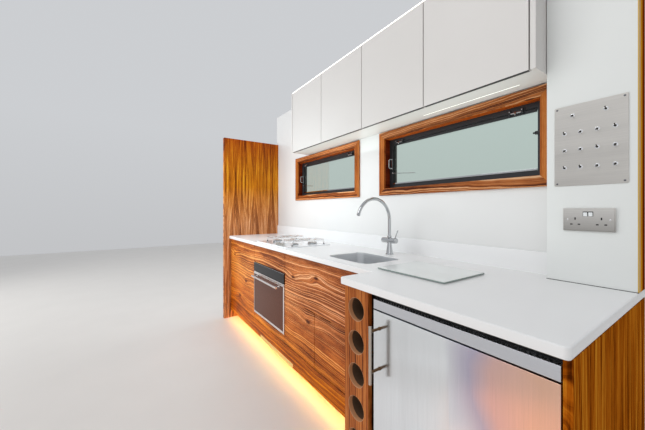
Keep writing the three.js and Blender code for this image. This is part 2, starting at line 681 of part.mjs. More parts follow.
function fronts() {
  const span = [FAR_FRONT, FAR_FRONT + FRONT_BOARD];
  const middle = (CORNER_FAR + OVEN_NEAR + SEAM) / 2;
  const low = [DOOR_BOTTOM, DOOR_TOP];
  const [near, far] = [CORNER_FAR, OVEN_NEAR + SEAM];
  add('base_door_near', block([near, middle + SEAM / 2], span, low), WALNUT);
  add('base_door_far', block([middle - SEAM / 2, far], span, low), WALNUT);
  const wide = [BULKHEAD_FACE + SEAM, OVEN_FAR - SEAM];
  add('far_cupboard_door', block(wide, span, [DOOR_BOTTOM, FRONT_TOP]), WALNUT);
  add('pan_drawer_front', block([near, far], span, [DRAWER_BOTTOM, FRONT_TOP]), WALNUT);
  const back = span[1] + SEAT;
  const half = BOARD / 2;
  const bay = [DIVIDERS[1].middle + half, DIVIDERS[0].middle - half];
  const { runner, wall, floor, bottom, top, end } = DRAWER;
  const [x0, x1] = [bay[0] + runner, bay[1] - runner];
  const box = block([x0, x1], [back, end], [bottom, top]);
  const hollow = block([x0 + wall, x1 - wall], [back + wall, end - wall], [bottom + floor, top + 1]);
  const rails = block([bay[0] + SEAT, bay[1] - SEAT], [back + 20, end - 20], [bottom + 30, bottom + 72]);
  const whole = cut(join(box, rails), hollow);
  add('pan_drawer_box', whole, DRAWER_BIRCH);
}

// Wall cupboards

const CUPBOARD = { near: 1256, far: -766, front: 161, board: 20, door: 20, shelf: 2030, leaves: 4 };

// The end boards come forward to the face of the doors that hang between them.
function wallCupboards() {
  const { near, far, front, board, door, shelf, leaves } = CUPBOARD;
  const carcassFront = front + door + SEAT;
  const [bottom, top] = [CUPBOARD_BOTTOM, CABIN_HEIGHT];
  const shell = block([far, near], [carcassFront, WALL], [bottom, top]);
  const halfway = (far + near) / 2;
  const cells = [[far + board, halfway - board / 2], [halfway + board / 2, near - board]];
  const hollows = [];
  for (const cell of cells) {
    const depth = [carcassFront - 1, WALL - 6];
    hollows.push(block(cell, depth, [bottom + board, shelf]));
    hollows.push(block(cell, depth, [shelf + board, top - board]));
  }
  const ends = [[far, far + board], [near - board, near]].map(
    (across) => block(across, [front, carcassFront + 1], [bottom, top]),
  );
  add('wall_cupboard', join(cut(shell, ...hollows), ...ends), WHITE_BOARD);
  const width = (near - far - 2 * board - (leaves + 1) * SEAM) / leaves;
  for (let i = 0; i < leaves; i += 1) {
    const x1 = near - board - SEAM - i * (width + SEAM);
    const leaf = block([x1, x1 - width], [front, front + door], [bottom, top - SEAM]);
    add(`wall_door_${i + 1}`, leaf, WHITE_BOARD);
  }
}

cabinSide();
windows();
serviceColumn();
switchPlate();
socketOutlet();
worktop();
sinkBowl();
tapBody();
tapSpout();
hob();
panSupports();
sinkCover();
baseCarcass();
bottomBand();
ovenFronts();
add('corner_return', cornerReturn(), WALNUT);
wineRack();
endBoards();
oven();
fridge();
fronts();
wallCupboards();

export default galley;
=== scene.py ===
# %% [markdown]
# # Dressing a houseboat galley
# The frame is a fitted galley from one side of a houseboat cabin: cupboards, oven, fridge, worktop,
# windows and wall cupboards, all at their real size in metres. X runs along the galley, Y goes from
# the cabin out through its side and Z is up. This lesson gives every piece its finish and adds the
# small parts that a fitter would bring last. Nothing in the frame is moved: we only read its boxes.

import math

import bmesh
import bpy
from mathutils import Matrix, Vector


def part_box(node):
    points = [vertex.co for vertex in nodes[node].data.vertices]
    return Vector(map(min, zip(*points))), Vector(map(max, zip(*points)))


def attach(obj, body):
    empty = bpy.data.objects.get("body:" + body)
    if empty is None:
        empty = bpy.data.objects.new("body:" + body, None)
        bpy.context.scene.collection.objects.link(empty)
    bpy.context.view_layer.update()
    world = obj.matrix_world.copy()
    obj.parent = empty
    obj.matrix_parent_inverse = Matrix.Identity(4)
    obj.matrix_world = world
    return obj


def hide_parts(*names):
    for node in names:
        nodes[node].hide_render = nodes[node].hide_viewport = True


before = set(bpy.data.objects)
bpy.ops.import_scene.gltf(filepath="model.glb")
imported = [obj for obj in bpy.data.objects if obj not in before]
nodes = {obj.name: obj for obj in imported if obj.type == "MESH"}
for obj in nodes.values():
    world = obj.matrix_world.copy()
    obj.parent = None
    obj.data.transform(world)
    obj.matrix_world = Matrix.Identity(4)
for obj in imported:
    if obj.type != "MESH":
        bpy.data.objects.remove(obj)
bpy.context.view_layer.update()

# %% [markdown]
# ## The camera
# A wide lens stood level in the cabin, a little lower than eye height. A level camera keeps uprights
# upright, so only the heading turns. The picture's horizon lies a few pixels above its middle, which
# is what the small vertical shift gives. We keep all of it as named values in real units.

# %% Place the camera
PICTURE_WIDTH = 645
PICTURE_HEIGHT = 430
FOCAL_IN_PIXELS = 286.7
HORIZON_ROW = 210.3
SENSOR_WIDTH = 36.0
EYE = Vector((1.714, -1.1595, 1.180))
HEADING = math.radians(55.78)


def place_camera():
    camera_data = bpy.data.cameras.new("camera")
    camera_data.sensor_fit = "HORIZONTAL"
    camera_data.sensor_width = SENSOR_WIDTH
    camera_data.lens = FOCAL_IN_PIXELS * SENSOR_WIDTH / PICTURE_WIDTH
    camera_data.shift_y = (HORIZON_ROW - PICTURE_HEIGHT / 2) / PICTURE_WIDTH
    camera = bpy.data.objects.new("camera", camera_data)
    camera.location = EYE
    camera.rotation_euler = (math.pi / 2, 0, HEADING)
    bpy.context.scene.collection.objects.link(camera)
    bpy.context.scene.camera = camera
    return camera_data.lens


print("lens in millimetres:", round(place_camera(), 2))

# %% [markdown]
# ## A bench for finishes
# Every finish is a node tree around one Principled shader. Writing such trees by hand is long, so a
# small class holds the material on the bench. It sets the constants straight on the shader's
# sockets, and its calls add nodes and return the output that the next call takes in. The class
# grows over three cells: the bench itself, its sums, and its colours and patterns. Only what varies
# over the surface is wired. Places are read in object coordinates, in metres, so a pattern keeps
# its real size and stays on its piece when a door swings.

# %% A bench for finishes
SHADER_SOCKETS = {
    "color": "Base Color", "metal": "Metallic", "roughness": "Roughness", "specular": "Specular IOR Level",
    "ior": "IOR", "coat": "Coat Weight", "coat_roughness": "Coat Roughness", "anisotropic": "Anisotropic",
    "glow": "Emission Strength", "glow_color": "Emission Color", "clear": "Transmission Weight",
    "mirror_color": "Specular Tint", "opacity": "Alpha",
}
finishes = {}


class Bench:
    """A material on the bench, its node tree and its shader."""

    def __init__(self, name, **constants):
        self.material = finishes[name] = bpy.data.materials.new(name)
        self.material.use_nodes = True
        self.tree = self.material.node_tree
        self.shader = self.tree.nodes["Principled BSDF"]
        for key, value in constants.items():
            socket = self.shader.inputs[SHADER_SOCKETS[key]]
            socket.default_value = (*value, 1.0) if "color" in key else value

    def node(self, kind, inputs, **settings):
        """A new node: another node's output is wired to its input and a plain value is set there."""
        node = self.tree.nodes.new("ShaderNode" + kind)
        for key, value in settings.items():
            setattr(node, key, value)
        for key, value in inputs.items():
            if isinstance(value, bpy.types.NodeSocket):
                self.tree.links.new(value, node.inputs[key])
            else:
                node.inputs[key].default_value = value
        return node

    def wire(self, key, value):
        self.tree.links.new(value, self.shader.inputs[SHADER_SOCKETS[key]])


print("shader sockets that a finish may set:", len(SHADER_SOCKETS))


# %% Sums on the bench
class SumBench(Bench):
    """A bench that can also do sums, where each value is a wire or a plain number."""

    def maths(self, operation, *values):
        return self.node("Math", dict(enumerate(values)), operation=operation).outputs[0]

    def plus(self, total, *values):
        for value in values:
            total = self.maths("ADD", total, value)
        return total

    def minus(self, first, second):
        return self.maths("SUBTRACT", first, second)

    def times(self, first, second):
        return self.maths("MULTIPLY", first, second)

    def swing(self, value, amount):
        """A noise turned into a push of up to half the amount either way."""
        return self.times(self.minus(value, 0.5), amount)

    def mapped(self, value, low, high, to_low=0.0, to_high=1.0):
        """A value carried from one range to another and kept inside it."""
        return self.node("MapRange", {0: value, 1: low, 2: high, 3: to_low, 4: to_high}).outputs[0]


print("sums on the bench:", [name for name in vars(SumBench) if not name.startswith("_")])

# %% Colours and patterns on the bench
X, Y, Z = 0, 1, 2


class Finish(SumBench):
    """The whole bench, with gloss, bump, colours and patterns."""

    def uneven_gloss(self, value, low, high, gloss):
        """The roughness goes from one end of the gloss to the other while the value rises."""
        self.wire("roughness", self.mapped(value, low, high, *gloss))

    def bump(self, height, strength, distance):
        inputs = {"Height": height, "Strength": strength, "Distance": distance}
        self.tree.links.new(self.node("Bump", inputs).outputs[0], self.shader.inputs["Normal"])

    def ramp(self, value, *stops):
        node = self.node("ValToRGB", {"Fac": value})
        elements = node.color_ramp.elements
        while len(elements) < len(stops):
            elements.new(0.5)
        for element, (position, color) in zip(elements, stops):
            element.position = position
            element.color = (*color, 1.0)
        return node.outputs["Color"]

    def blend(self, share, first, second, mode="MIX"):
        """Two colours mixed by a share; either may be a wire or a plain colour."""
        colors = [c if isinstance(c, bpy.types.NodeSocket) else (*c, 1.0) for c in (first, second)]
        inputs = {0: share, 6: colors[0], 7: colors[1]}
        return self.node("Mix", inputs, data_type="RGBA", blend_type=mode).outputs[2]

    def place(self):
        return self.node("TexCoord", {}).outputs["Object"]

    def axes(self, along, across):
        """The place along the grain, across it, and on the axis that is left."""
        parts = self.node("SeparateXYZ", {0: self.place()}).outputs
        return parts[along], parts[across], parts[X + Y + Z - along - across]

    def noise(self, vector, scale, detail=2.0, roughness=0.5):
        inputs = {"Vector": vector, "Scale": scale, "Detail": detail, "Roughness": roughness}
        return self.node("TexNoise", inputs).outputs[0]

    def grain(self, axes, scales, detail=2.0, roughness=0.5):
        """A noise with its own scale on each axis, so that it is drawn out along the grain."""
        parts = [self.times(axis, scale) for axis, scale in zip(axes, scales)]
        vector = self.node("CombineXYZ", dict(enumerate(parts))).outputs[0]
        return self.noise(vector, 1.0, detail, roughness)


def srgb(red, green, blue):
    """A colour picked on a screen, turned into the linear light that a shader wants."""
    return tuple(((v / 255 + 0.055) / 1.055) ** 2.4 if v > 10 else v / 3295 for v in (red, green, blue))


NO_TINT = (1.0, 1.0, 1.0)
print("white in linear light:", [round(v, 3) for v in srgb(235, 235, 232)])

# %% [markdown]
# ## Walnut veneer
# The galley's fronts are sliced walnut: a thin sheet cut through the year rings, so the same ring
# comes up again and again as a wavy band. A photograph of wood could be wrapped on, but it would
# blur close up. Here the pattern is grown instead. Each spot gets a place across the log, that place
# is pushed to and fro by slow noise and by the knots, and bands, late-wood lines and pores are read
# from it. Boards that share one veneer share one finish, so the figure runs on across the seams.

# %% Year rings, leaves and knots
# How many times its push a knot reaches along and across the grain, and its dark heart in metres.
KNOT_REACH = (3.2, 1.3)
KNOT_HEART = (0.020, 0.011)


def ring_noise(finish, rings, scale, detail, roughness=0.5):
    inputs = {"W": rings, "Scale": scale, "Detail": detail, "Roughness": roughness}
    return finish.node("TexNoise", inputs, noise_dimensions="1D").outputs[0]


def ring_lines(finish, rings, scale, width):
    """1 on a thin line wherever the noise over the rings crosses its middle, 0 elsewhere."""
    crossing = finish.minus(ring_noise(finish, rings, scale, 1.0), 0.5)
    return finish.mapped(finish.maths("ABSOLUTE", crossing), 0.0, width, 1.0, 0.0)


def book_matched(finish, axes, joint, leaf, middle, rise):
    """Leaves turned over like pages: the rings meet in a V over each joint and in a peak under it."""
    across = finish.maths("PINGPONG", finish.minus(axes[1], joint), leaf)
    up = finish.minus(axes[0], middle)
    blunt_up = finish.maths("SQRT", finish.plus(finish.times(up, up), 0.02))
    return finish.minus(across, finish.times(blunt_up, rise))


def bell(finish, axes, centre, lengths):
    """A hill of height 1 at a knot, as long and as wide as the two lengths."""
    squares = []
    for axis, middle, length in zip(axes, centre, lengths):
        offset = finish.maths("DIVIDE", finish.minus(axis, middle), length)
        squares.append(finish.times(offset, offset))
    return finish.maths("EXPONENT", finish.times(finish.plus(*squares), -1.0))


def push_by_knots(finish, axes, place, knots):
    """The rings swerve round each knot, and its heart is dark."""
    hearts = []
    for *centre, push in knots:
        hill = bell(finish, axes, centre, [abs(push) * reach for reach in KNOT_REACH])
        place = finish.plus(place, finish.times(hill, push))
        hearts.append(bell(finish, axes, centre, KNOT_HEART))
    return place, hearts


print("axes of the fronts' grain:", "XYZ"[X], "along,", "XYZ"[Z], "across")

# %% Tones and scales of walnut
WALNUT_DARK = srgb(84, 38, 18)
WALNUT_TONES = (
    (0.04, WALNUT_DARK), (0.26, srgb(146, 76, 34)), (0.47, srgb(198, 112, 50)),
    (0.68, srgb(228, 150, 84)), (0.92, srgb(248, 192, 134)),
)
MIDDLE_TONE = 0.52
RING_DEPTH, FINE_DEPTH, FIBRE_DEPTH, HEART_DEPTH, PORE_DEPTH = 0.62, 0.55, 0.42, 0.8, 0.35
# How the rings stray: the noise's scale along and across the grain, its detail and its share.
SWAYS = ((1.3, 2.8, 1.0, 1.0), (7.0, 14.0, 2.0, 0.22), (30.0, 40.0, 2.0, 0.035))
# Lines over the rings: how close they lie, how wide they are and, in late wood, how dark.
LATE_WOOD = ((0.9, 0.026, 1.0), (2.3, 0.04, 0.5))
EARLY_WOOD = ((0.43, 0.02), (1.1, 0.032))
# Scales along the grain and on the two axes across it.
PATCHES, STREAKS = (2.0, 8.0, 8.0), (1.2, 70.0, 70.0)
FIBRE, PORES = (14.0, 380.0, 380.0), (42.0, 1500.0, 1500.0)
print("tones from dark to sap wood:", len(WALNUT_TONES))


# %% Grow a walnut finish
def grow_walnut(name, along, across, band=0.011, wander=0.07, leaves=None, knots=(), tints=(), depth=1.0,
                streaks=0.0, sheen=0.12, contrast=1.4, mottle=0.35, late=1.0, pale=0.0):
    """Band is a year ring's width and wander how far it strays; the other values deepen the figure."""
    finish = Finish(name, specular=sheen)
    axes = finish.axes(along, across)
    place = book_matched(finish, axes, *leaves) if leaves else axes[1]
    for slow, quick, detail, share in SWAYS:
        sway = finish.grain(axes, (slow, quick, quick), detail)
        place = finish.plus(place, finish.swing(sway, wander * share))
    place, hearts = push_by_knots(finish, axes, place, knots)
    rings = finish.maths("DIVIDE", place, band)
    patches = finish.grain(axes, PATCHES, 4.0, 0.6)
    fine = ring_noise(finish, rings, 2.4, 3.0, 0.6)
    fibre = finish.grain(axes, FIBRE, 3.0, 0.6)
    pushes = [
        finish.swing(ring_noise(finish, rings, 0.3, 2.0), RING_DEPTH * depth),
        finish.swing(patches, mottle),
        finish.swing(fine, FINE_DEPTH),
        finish.swing(fibre, FIBRE_DEPTH),
    ]
    if streaks:
        pushes.append(finish.swing(finish.grain(axes, STREAKS, 3.0, 0.6), streaks))
    # Late wood is darkest where a patch is dark.
    weight = finish.mapped(patches, 0.35, 0.65, 0.46, 0.2)
    for scale, width, share in LATE_WOOD:
        late_wood = finish.times(ring_lines(finish, rings, scale, width), weight)
        pushes.append(finish.times(late_wood, -share * late * depth))
    if pale:
        # Pale lines of early wood stand over a veneer that is darker as a whole.
        pushes += [finish.times(ring_lines(finish, rings, *line), pale) for line in EARLY_WOOD]
    pushes += [finish.times(heart, -HEART_DEPTH) for heart in hearts]
    tone = finish.plus(MIDDLE_TONE - pale * 0.42, *pushes)
    tone = finish.plus(finish.times(finish.minus(tone, 0.5), contrast), 0.5)
    pits = finish.mapped(finish.grain(axes, PORES, 1.0), 0.58, 0.74)
    color = finish.blend(finish.times(pits, PORE_DEPTH), finish.ramp(tone, *WALNUT_TONES), WALNUT_DARK)
    for axis, start, end, tint in tints:
        # The veneer leans to another tone from one end of a board to the other; the glow tint is a painted
        # glow and the shade tint painted shade.
        color = finish.blend(finish.mapped(axes[axis], start, end), color, tint, "MULTIPLY")
    finish.wire("color", color)
    finish.uneven_gloss(fine, 0.0, 1.0, (0.34, 0.5))
    finish.bump(finish.minus(finish.times(fibre, 0.4), pits), 0.25, 0.0004)


def all_over(tint):
    """A tint that has reached its full share long before the board starts."""
    return (0, -9.0, -8.0, tint)


print("a tint all over a board:", all_over(NO_TINT))

# %% The galley's eight veneers
# Each knot's place along and across the grain, and how far it pushes the rings.
FRONT_KNOTS = (
    (-0.039, 0.719, 0.030), (-1.331, 0.715, 0.034), (-1.167, 0.319, -0.036),
    (-0.989, 0.498, 0.028), (0.254, 0.769, -0.030), (0.160, 0.472, 0.034),
)
# Each tint's axis, 0 along the grain or 1 across it, where it starts and is full, and its colour.
TO_PINK = (0, -0.7, 0.6, srgb(238, 234, 255))
TO_ORANGE = (0, -0.2, -1.3, srgb(255, 234, 168))
# The fronts turn yellow towards the floor: a painted glow of the light strip below them.
TO_PAINTED_GLOW = (1, 0.58, 0.16, srgb(255, 218, 26))
TO_ROSE = (0, -0.2, 0.4, srgb(230, 240, 255))
TO_GOLD = (0, 1.02, 1.45, srgb(246, 224, 76))
TO_RED = (0, 1.62, 1.98, srgb(226, 176, 140))
# The column's end panel turns darker behind a line near its back: painted shade.
TO_PAINTED_SHADE = (1, 0.314, 0.317, srgb(155, 93, 80))
grow_walnut("walnut_front", X, Z, knots=FRONT_KNOTS, tints=[TO_PINK, TO_ORANGE, TO_PAINTED_GLOW],
            depth=0.42, contrast=1.22, mottle=1.0, late=0.45, pale=0.45)
grow_walnut("walnut_board", Z, Y, 0.013, 0.04, leaves=(0.055, 0.1085, 1.5, 0.10),
            tints=[all_over((0.94, 1.14, 1.7)), TO_GOLD, TO_RED], depth=0.6, streaks=0.8)
grow_walnut("walnut_end", Z, Y, 0.013, 0.05, leaves=(0.02, 0.150, 0.62, 0.12),
            tints=[all_over(srgb(216, 200, 100))], depth=0.7, streaks=0.9, sheen=0.0)
grow_walnut("walnut_golden", Z, Y, 0.012, 0.03, tints=[all_over((1.07, 1.35, 0.34)), TO_PAINTED_SHADE],
            depth=0.5, streaks=0.4, sheen=0.0, contrast=0.9)
grow_walnut("walnut_upright", Z, X, 0.012, 0.03, tints=[all_over(srgb(214, 203, 184))],
            depth=0.7, streaks=0.3)
grow_walnut("walnut_rail", X, Z, 0.02, 0.09, tints=[all_over(srgb(238, 234, 244)), TO_ROSE],
            depth=0.7, streaks=0.4, pale=0.3)
# Painted shade in the window reveals, and an orange painted glow under the top lining.
grow_walnut("walnut_painted_shade", X, Z, 0.014, 0.04, tints=[all_over(srgb(140, 86, 62))], depth=0.6)
grow_walnut("walnut_soffit_painted_glow", X, Y, 0.014, 0.04, tints=[all_over(srgb(250, 200, 120))], depth=0.6)
print("walnut finishes:", list(finishes))

# %% [markdown]
# ## Lacquer, lining and worktop
# The cupboard doors are satin lacquer, the cabin lining is a glossier sheet, and the worktop is a
# cast solid surface with a fine speckle. All three are nearly plain, so what makes them real is
# small: a breath of orange peel in the bump and a gloss that isn't quite even. The service column's
# white face ends in a lipping of bare wood. A strip of mesh could be laid on, but a step in the
# colour a few millimetres before the edge keeps the column in one piece.

# %% Plain surfaces with a little life in them
def paint(name, color, gloss, peel=0.02, peel_scale=420.0, cloud=0.02, lip=None, **constants):
    """Paint, lacquer or moulded plastic: one tone with faint clouds, orange peel and uneven gloss."""
    finish = Finish(name, **constants)
    place = finish.place()
    darker = [v * (1 - cloud) for v in color]
    tone = finish.ramp(finish.noise(place, 3.0, 4.0), (0.35, darker), (0.65, color))
    if lip:
        start, wood = lip
        x = finish.node("SeparateXYZ", {0: place}).outputs[X]
        tone = finish.blend(finish.mapped(x, start, start + 0.0003), tone, wood)
    finish.wire("color", tone)
    finish.uneven_gloss(finish.noise(place, 4.0, 2.0, 0.4), 0.2, 0.8, gloss)
    finish.bump(finish.noise(place, peel_scale), peel, 0.001)
    return finish.material


column_lip = (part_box("service_column")[1].x - 0.004, srgb(196, 158, 76))
paint("white_lacquer", srgb(212, 209, 206), (0.34, 0.42))
paint("column_white", srgb(224, 226, 224), (0.34, 0.44), peel=0.03, lip=column_lip)
paint("lining_gloss", srgb(224, 224, 223), (0.12, 0.18), peel=0.012, peel_scale=160.0)
paint("carcass_board", srgb(224, 222, 216), (0.40, 0.55), peel=0.05, peel_scale=900.0)
paint("pale_edge", srgb(206, 150, 108), (0.4, 0.5), peel=0.1, peel_scale=900.0, cloud=0.12)
paint("tube_brown", srgb(98, 78, 60), (0.4, 0.55), peel=0.06, peel_scale=600.0, cloud=0.1)
paint("textured_black", srgb(22, 22, 24), (0.45, 0.6), peel=0.25, peel_scale=1500.0, cloud=0.2)
paint("powder_black", srgb(40, 41, 44), (0.32, 0.44), peel=0.12, peel_scale=1800.0, cloud=0.12)
# A pale cream grille: a painted glow of the warm light strip under the bottom band.
paint("grille_painted_glow", srgb(255, 226, 150), (0.35, 0.45), peel=0.08, peel_scale=900.0, cloud=0.08)
paint("moulded_white", srgb(232, 235, 236), (0.28, 0.4), peel=0.08, peel_scale=700.0)
paint("enamel", srgb(236, 238, 240), (0.05, 0.1), peel=0.01, peel_scale=90.0, coat=0.6, coat_roughness=0.04)
print("finishes so far:", len(finishes))


# %% The worktop's cast speckle
def cast_worktop():
    finish = Finish("worktop_cast", coat=0.03, coat_roughness=0.1, specular=0.14)
    place = finish.place()
    grit = finish.node("TexVoronoi", {"Vector": place, "Scale": 640.0}).outputs["Distance"]
    clouds = finish.noise(place, 2.0, 1.0)
    base = finish.ramp(clouds, (0.3, srgb(232, 232, 232)), (0.7, srgb(235, 235, 235)))
    finish.wire("color", finish.blend(finish.mapped(grit, 0.06, 0.2), srgb(225, 225, 225), base))
    finish.uneven_gloss(clouds, 0.3, 0.7, (0.2, 0.26))
    finish.bump(finish.noise(place, 30.0, 1.0), 0.01, 0.001)
    return len(finish.tree.nodes)


print("worktop nodes:", cast_worktop())

# %% [markdown]
# ## Metals and glass
# Brushed steel is thousands of scratches in one direction. They are too fine to model, so a noise
# pressed hard across the brushing drives both the roughness and a slight bump, and the shader's own
# anisotropy draws the highlight out. The fridge door's colour leans from a cool to a warm tone across
# its width, a painted reflection; the grip is painted darker on its back side and the socket towards
# its foot, both painted shade; and wide soft bands along the brushing are painted reflections. Chrome
# gets finger smudges in its gloss, and glass a little dust. The fridge's shelves are seen through at a
# low opacity instead of being refractive, because refraction would keep the light from the shelves below.

# %% Brushed steel
def brush_steel(name, along, across, color, gloss, painted_light=None, reflection_bands=0.0):
    finish = Finish(name, metal=1.0, anisotropic=0.45)
    axes = finish.axes(along, across)
    scratches = finish.grain(axes, (5.0, 950.0, 950.0), 3.0, 0.7)
    handling = finish.grain(axes, (5.0, 5.0, 5.0), 4.0)
    tone = finish.ramp(scratches, (0.3, [v * 0.86 for v in color]), (0.7, color))
    if painted_light:
        # The sheet's colour leans to other tones between two places on an axis, with a wavering edge: painted
        # reflection or painted shade.
        axis, start, end, waver, stops = painted_light
        sway = finish.swing(finish.grain(axes, (3.0, 3.0, 3.0)), waver)
        share = finish.mapped(finish.plus(axes[axis], sway), start, end)
        tone = finish.blend(1.0, tone, finish.ramp(share, *stops), "MULTIPLY")
    if reflection_bands:
        # Wide soft bands along the brushing, a painted reflection like the one a sheet that isn't quite flat
        # shows.
        reflection_band_noise = finish.grain(axes, (0.5, 8.0, 8.0), 3.0, 0.6)
        tone = finish.blend(finish.mapped(reflection_band_noise, 0.35, 0.65), tone, [1.0 - reflection_bands] * 3, "MULTIPLY")
    finish.wire("color", tone)
    mixed = finish.plus(finish.times(scratches, 0.6), finish.times(handling, 0.4))
    finish.uneven_gloss(mixed, 0.3, 0.7, gloss)
    finish.bump(scratches, 0.06, 0.0004)


grip_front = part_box("fridge_handle")[0].y
socket_low, socket_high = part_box("socket_outlet")
# A painted reflection or shade: its axis (0 along the brushing, 1 across, 2 the one that is left), start,
# end, waver, tones.
# The fridge door cool at one side and warm at the other: a painted reflection.
PAINTED_REFLECTION_COOL_TO_WARM = (1, 1.21, 1.44, 0.2, (
    (0.0, (0.96, 0.98, 1.0)), (0.4, srgb(208, 200, 220)),
    (0.62, srgb(246, 204, 196)), (1.0, srgb(255, 206, 180)),
))
# The grip darker on its back side, towards the door: painted shade.
PAINTED_SHADE_BEHIND = (2, grip_front + 0.004, grip_front + 0.009, 0.0, ((0.0, NO_TINT), (1.0, srgb(112, 88, 66))))
# The socket darker towards its foot: painted shade.
PAINTED_SHADE_BELOW = (1, socket_low.z, socket_high.z, 0.0, ((0.0, srgb(200, 199, 198)), (1.0, NO_TINT)))
brush_steel("steel_level", Z, X, srgb(250, 253, 255), (0.15, 0.24), PAINTED_REFLECTION_COOL_TO_WARM, reflection_bands=0.07)
brush_steel("steel_strip", X, Z, srgb(220, 223, 230), (0.15, 0.24))
brush_steel("steel_grip", Z, X, srgb(206, 196, 184), (0.16, 0.26), PAINTED_SHADE_BEHIND)
brush_steel("steel_plate", X, Z, srgb(226, 222, 216), (0.34, 0.46), reflection_bands=0.12)
brush_steel("steel_bowl", X, Y, srgb(238, 240, 242), (0.29, 0.39))
brush_steel("steel_bar", Y, X, srgb(250, 249, 248), (0.18, 0.28))
brush_steel("steel_socket", X, Z, srgb(240, 237, 232), (0.3, 0.42), PAINTED_SHADE_BELOW)
brush_steel("steel_inside", Y, X, srgb(120, 122, 126), (0.35, 0.5))
print("brushed steels:", [name for name in finishes if name.startswith("steel")])


# %% Chrome and glass
def polish_chrome(name, color):
    finish = Finish(name, color=color, metal=1.0)
    finish.uneven_gloss(finish.noise(finish.place(), 30.0, 5.0, 0.7), 0.35, 0.8, (0.02, 0.08))


def float_glass(name, color, gloss, clear=0.0, mirror=NO_TINT, opacity=1.0):
    finish = Finish(name, color=color, clear=clear, ior=1.5, mirror_color=mirror, opacity=opacity)
    finish.uneven_gloss(finish.noise(finish.place(), 18.0, 6.0, 0.75), 0.45, 0.8, gloss)


polish_chrome("chrome_polished", srgb(194, 196, 198))
polish_chrome("chrome_bright", srgb(240, 241, 242))
# Darker chrome for the toggles' bushes and levers: a painted dark reflection.
polish_chrome("toggle_dark_reflection", srgb(84, 80, 76))
float_glass("window_pane", srgb(226, 242, 232), (0.0, 0.03), clear=1.0)
float_glass("shelf_glass", srgb(206, 226, 220), (0.0, 0.03), opacity=0.22)
float_glass("panel_glass", srgb(14, 13, 16), (0.02, 0.08), mirror=srgb(120, 120, 130))
# Brown oven glass whose reflections are tinted orange: a painted warm reflection.
float_glass("dark_pane_warm_reflection", srgb(72, 32, 10), (0.02, 0.1), mirror=srgb(255, 128, 50))
float_glass("glass_edge", srgb(138, 150, 145), (0.05, 0.12))
float_glass("frosted_cover", srgb(240, 244, 242), (0.03, 0.09), clear=0.12)
print("finishes so far:", len(finishes))

# %% [markdown]
# ## Paint on the outside, wood in the drawer and glowing strips
# The other side of this part is the boat's steel skin. Its paint is thick and glossy, with runs of
# rain dirt, so a noise stretched in height tones it. The drawer box is birch plywood, whose pale
# plies are a noise pressed flat in height. The light strips are diffusers over a row of small
# lights, a little brighter over each one, which a wave along the strip gives.

# %% Hull paint, birch and diffusers
def roll_hull_paint():
    finish = Finish("hull_paint", coat=0.6, coat_roughness=0.12, specular=0.5)
    runs = finish.grain(finish.axes(Z, X), (0.8, 38.0, 38.0), 4.0, 0.6)
    place = finish.place()
    dirt = finish.times(runs, finish.noise(place, 1.6, 4.0))
    tones = ((0.14, srgb(26, 62, 54)), (0.30, srgb(32, 72, 62)), (0.46, srgb(72, 98, 88)))
    finish.wire("color", finish.ramp(dirt, *tones))
    finish.uneven_gloss(dirt, 0.1, 0.45, (0.16, 0.5))
    peel = finish.times(finish.noise(place, 260.0), 0.02)
    finish.bump(finish.plus(finish.noise(place, 5.0, 1.0), peel), 0.2, 0.004)


def birch_ply():
    finish = Finish("birch_ply", coat=0.15, coat_roughness=0.3)
    plies = finish.grain(finish.axes(X, Z), (3.0, 700.0, 60.0))
    finish.wire("color", finish.ramp(plies, (0.3, srgb(190, 150, 102)), (0.7, srgb(224, 190, 144))))
    finish.uneven_gloss(plies, 0.0, 1.0, (0.4, 0.6))
    finish.bump(plies, 0.1, 0.0004)


def diffuser(name, color, strength):
    finish = Finish(name, color=srgb(250, 246, 236), glow_color=color)
    beads = finish.node("TexWave", {"Vector": finish.place(), "Scale": 9.0}).outputs[1]
    finish.wire("glow", finish.mapped(beads, 0.0, 1.0, strength * 0.85, strength))
    finish.uneven_gloss(beads, 0.0, 1.0, (0.4, 0.5))


roll_hull_paint()
birch_ply()
diffuser("warm_light", srgb(255, 184, 80), 40.0)
diffuser("door_light", srgb(255, 248, 238), 2.4)
diffuser("under_light", srgb(246, 255, 250), 0.86)
print("finishes in all:", len(finishes))

# %% [markdown]
# ## Soft edges on the frame's own boards
# Most boards, doors and panels already have the right shape, so they keep their solid and only get
# a finish. Their edges are knife sharp, though, and a real board's arris is always eased by a
# millimetre, which is what catches the light. The mesh may not be edited, so a stack of modifiers
# does it: the facets are joined, flat ones merged, the edges bevelled and the shading evened.

# %% A node group that joins facets
def facet_joiner():
    """A node group that drops the file's own normals and welds the facets' corners."""
    tree = bpy.data.node_groups.new("join_facets", "GeometryNodeTree")
    tree.interface.new_socket("Geometry", in_out="INPUT", socket_type="NodeSocketGeometry")
    tree.interface.new_socket("Geometry", in_out="OUTPUT", socket_type="NodeSocketGeometry")
    start = tree.nodes.new("NodeGroupInput")
    end = tree.nodes.new("NodeGroupOutput")
    plain = tree.nodes.new("GeometryNodeRemoveAttribute")
    plain.inputs["Name"].default_value = "custom_normal"
    weld = tree.nodes.new("GeometryNodeMergeByDistance")
    weld.inputs["Distance"].default_value = 0.00001
    flat_faces = tree.nodes.new("GeometryNodeSetShadeSmooth")
    flat_edges = tree.nodes.new("GeometryNodeSetShadeSmooth")
    flat_edges.domain = "EDGE"
    chain = [start, plain, weld, flat_faces, flat_edges, end]
    for before, after in zip(chain, chain[1:]):
        tree.links.new(before.outputs[0], after.inputs[0])
    return tree


join_facets = facet_joiner()
print("steps that join facets:", len(join_facets.nodes))


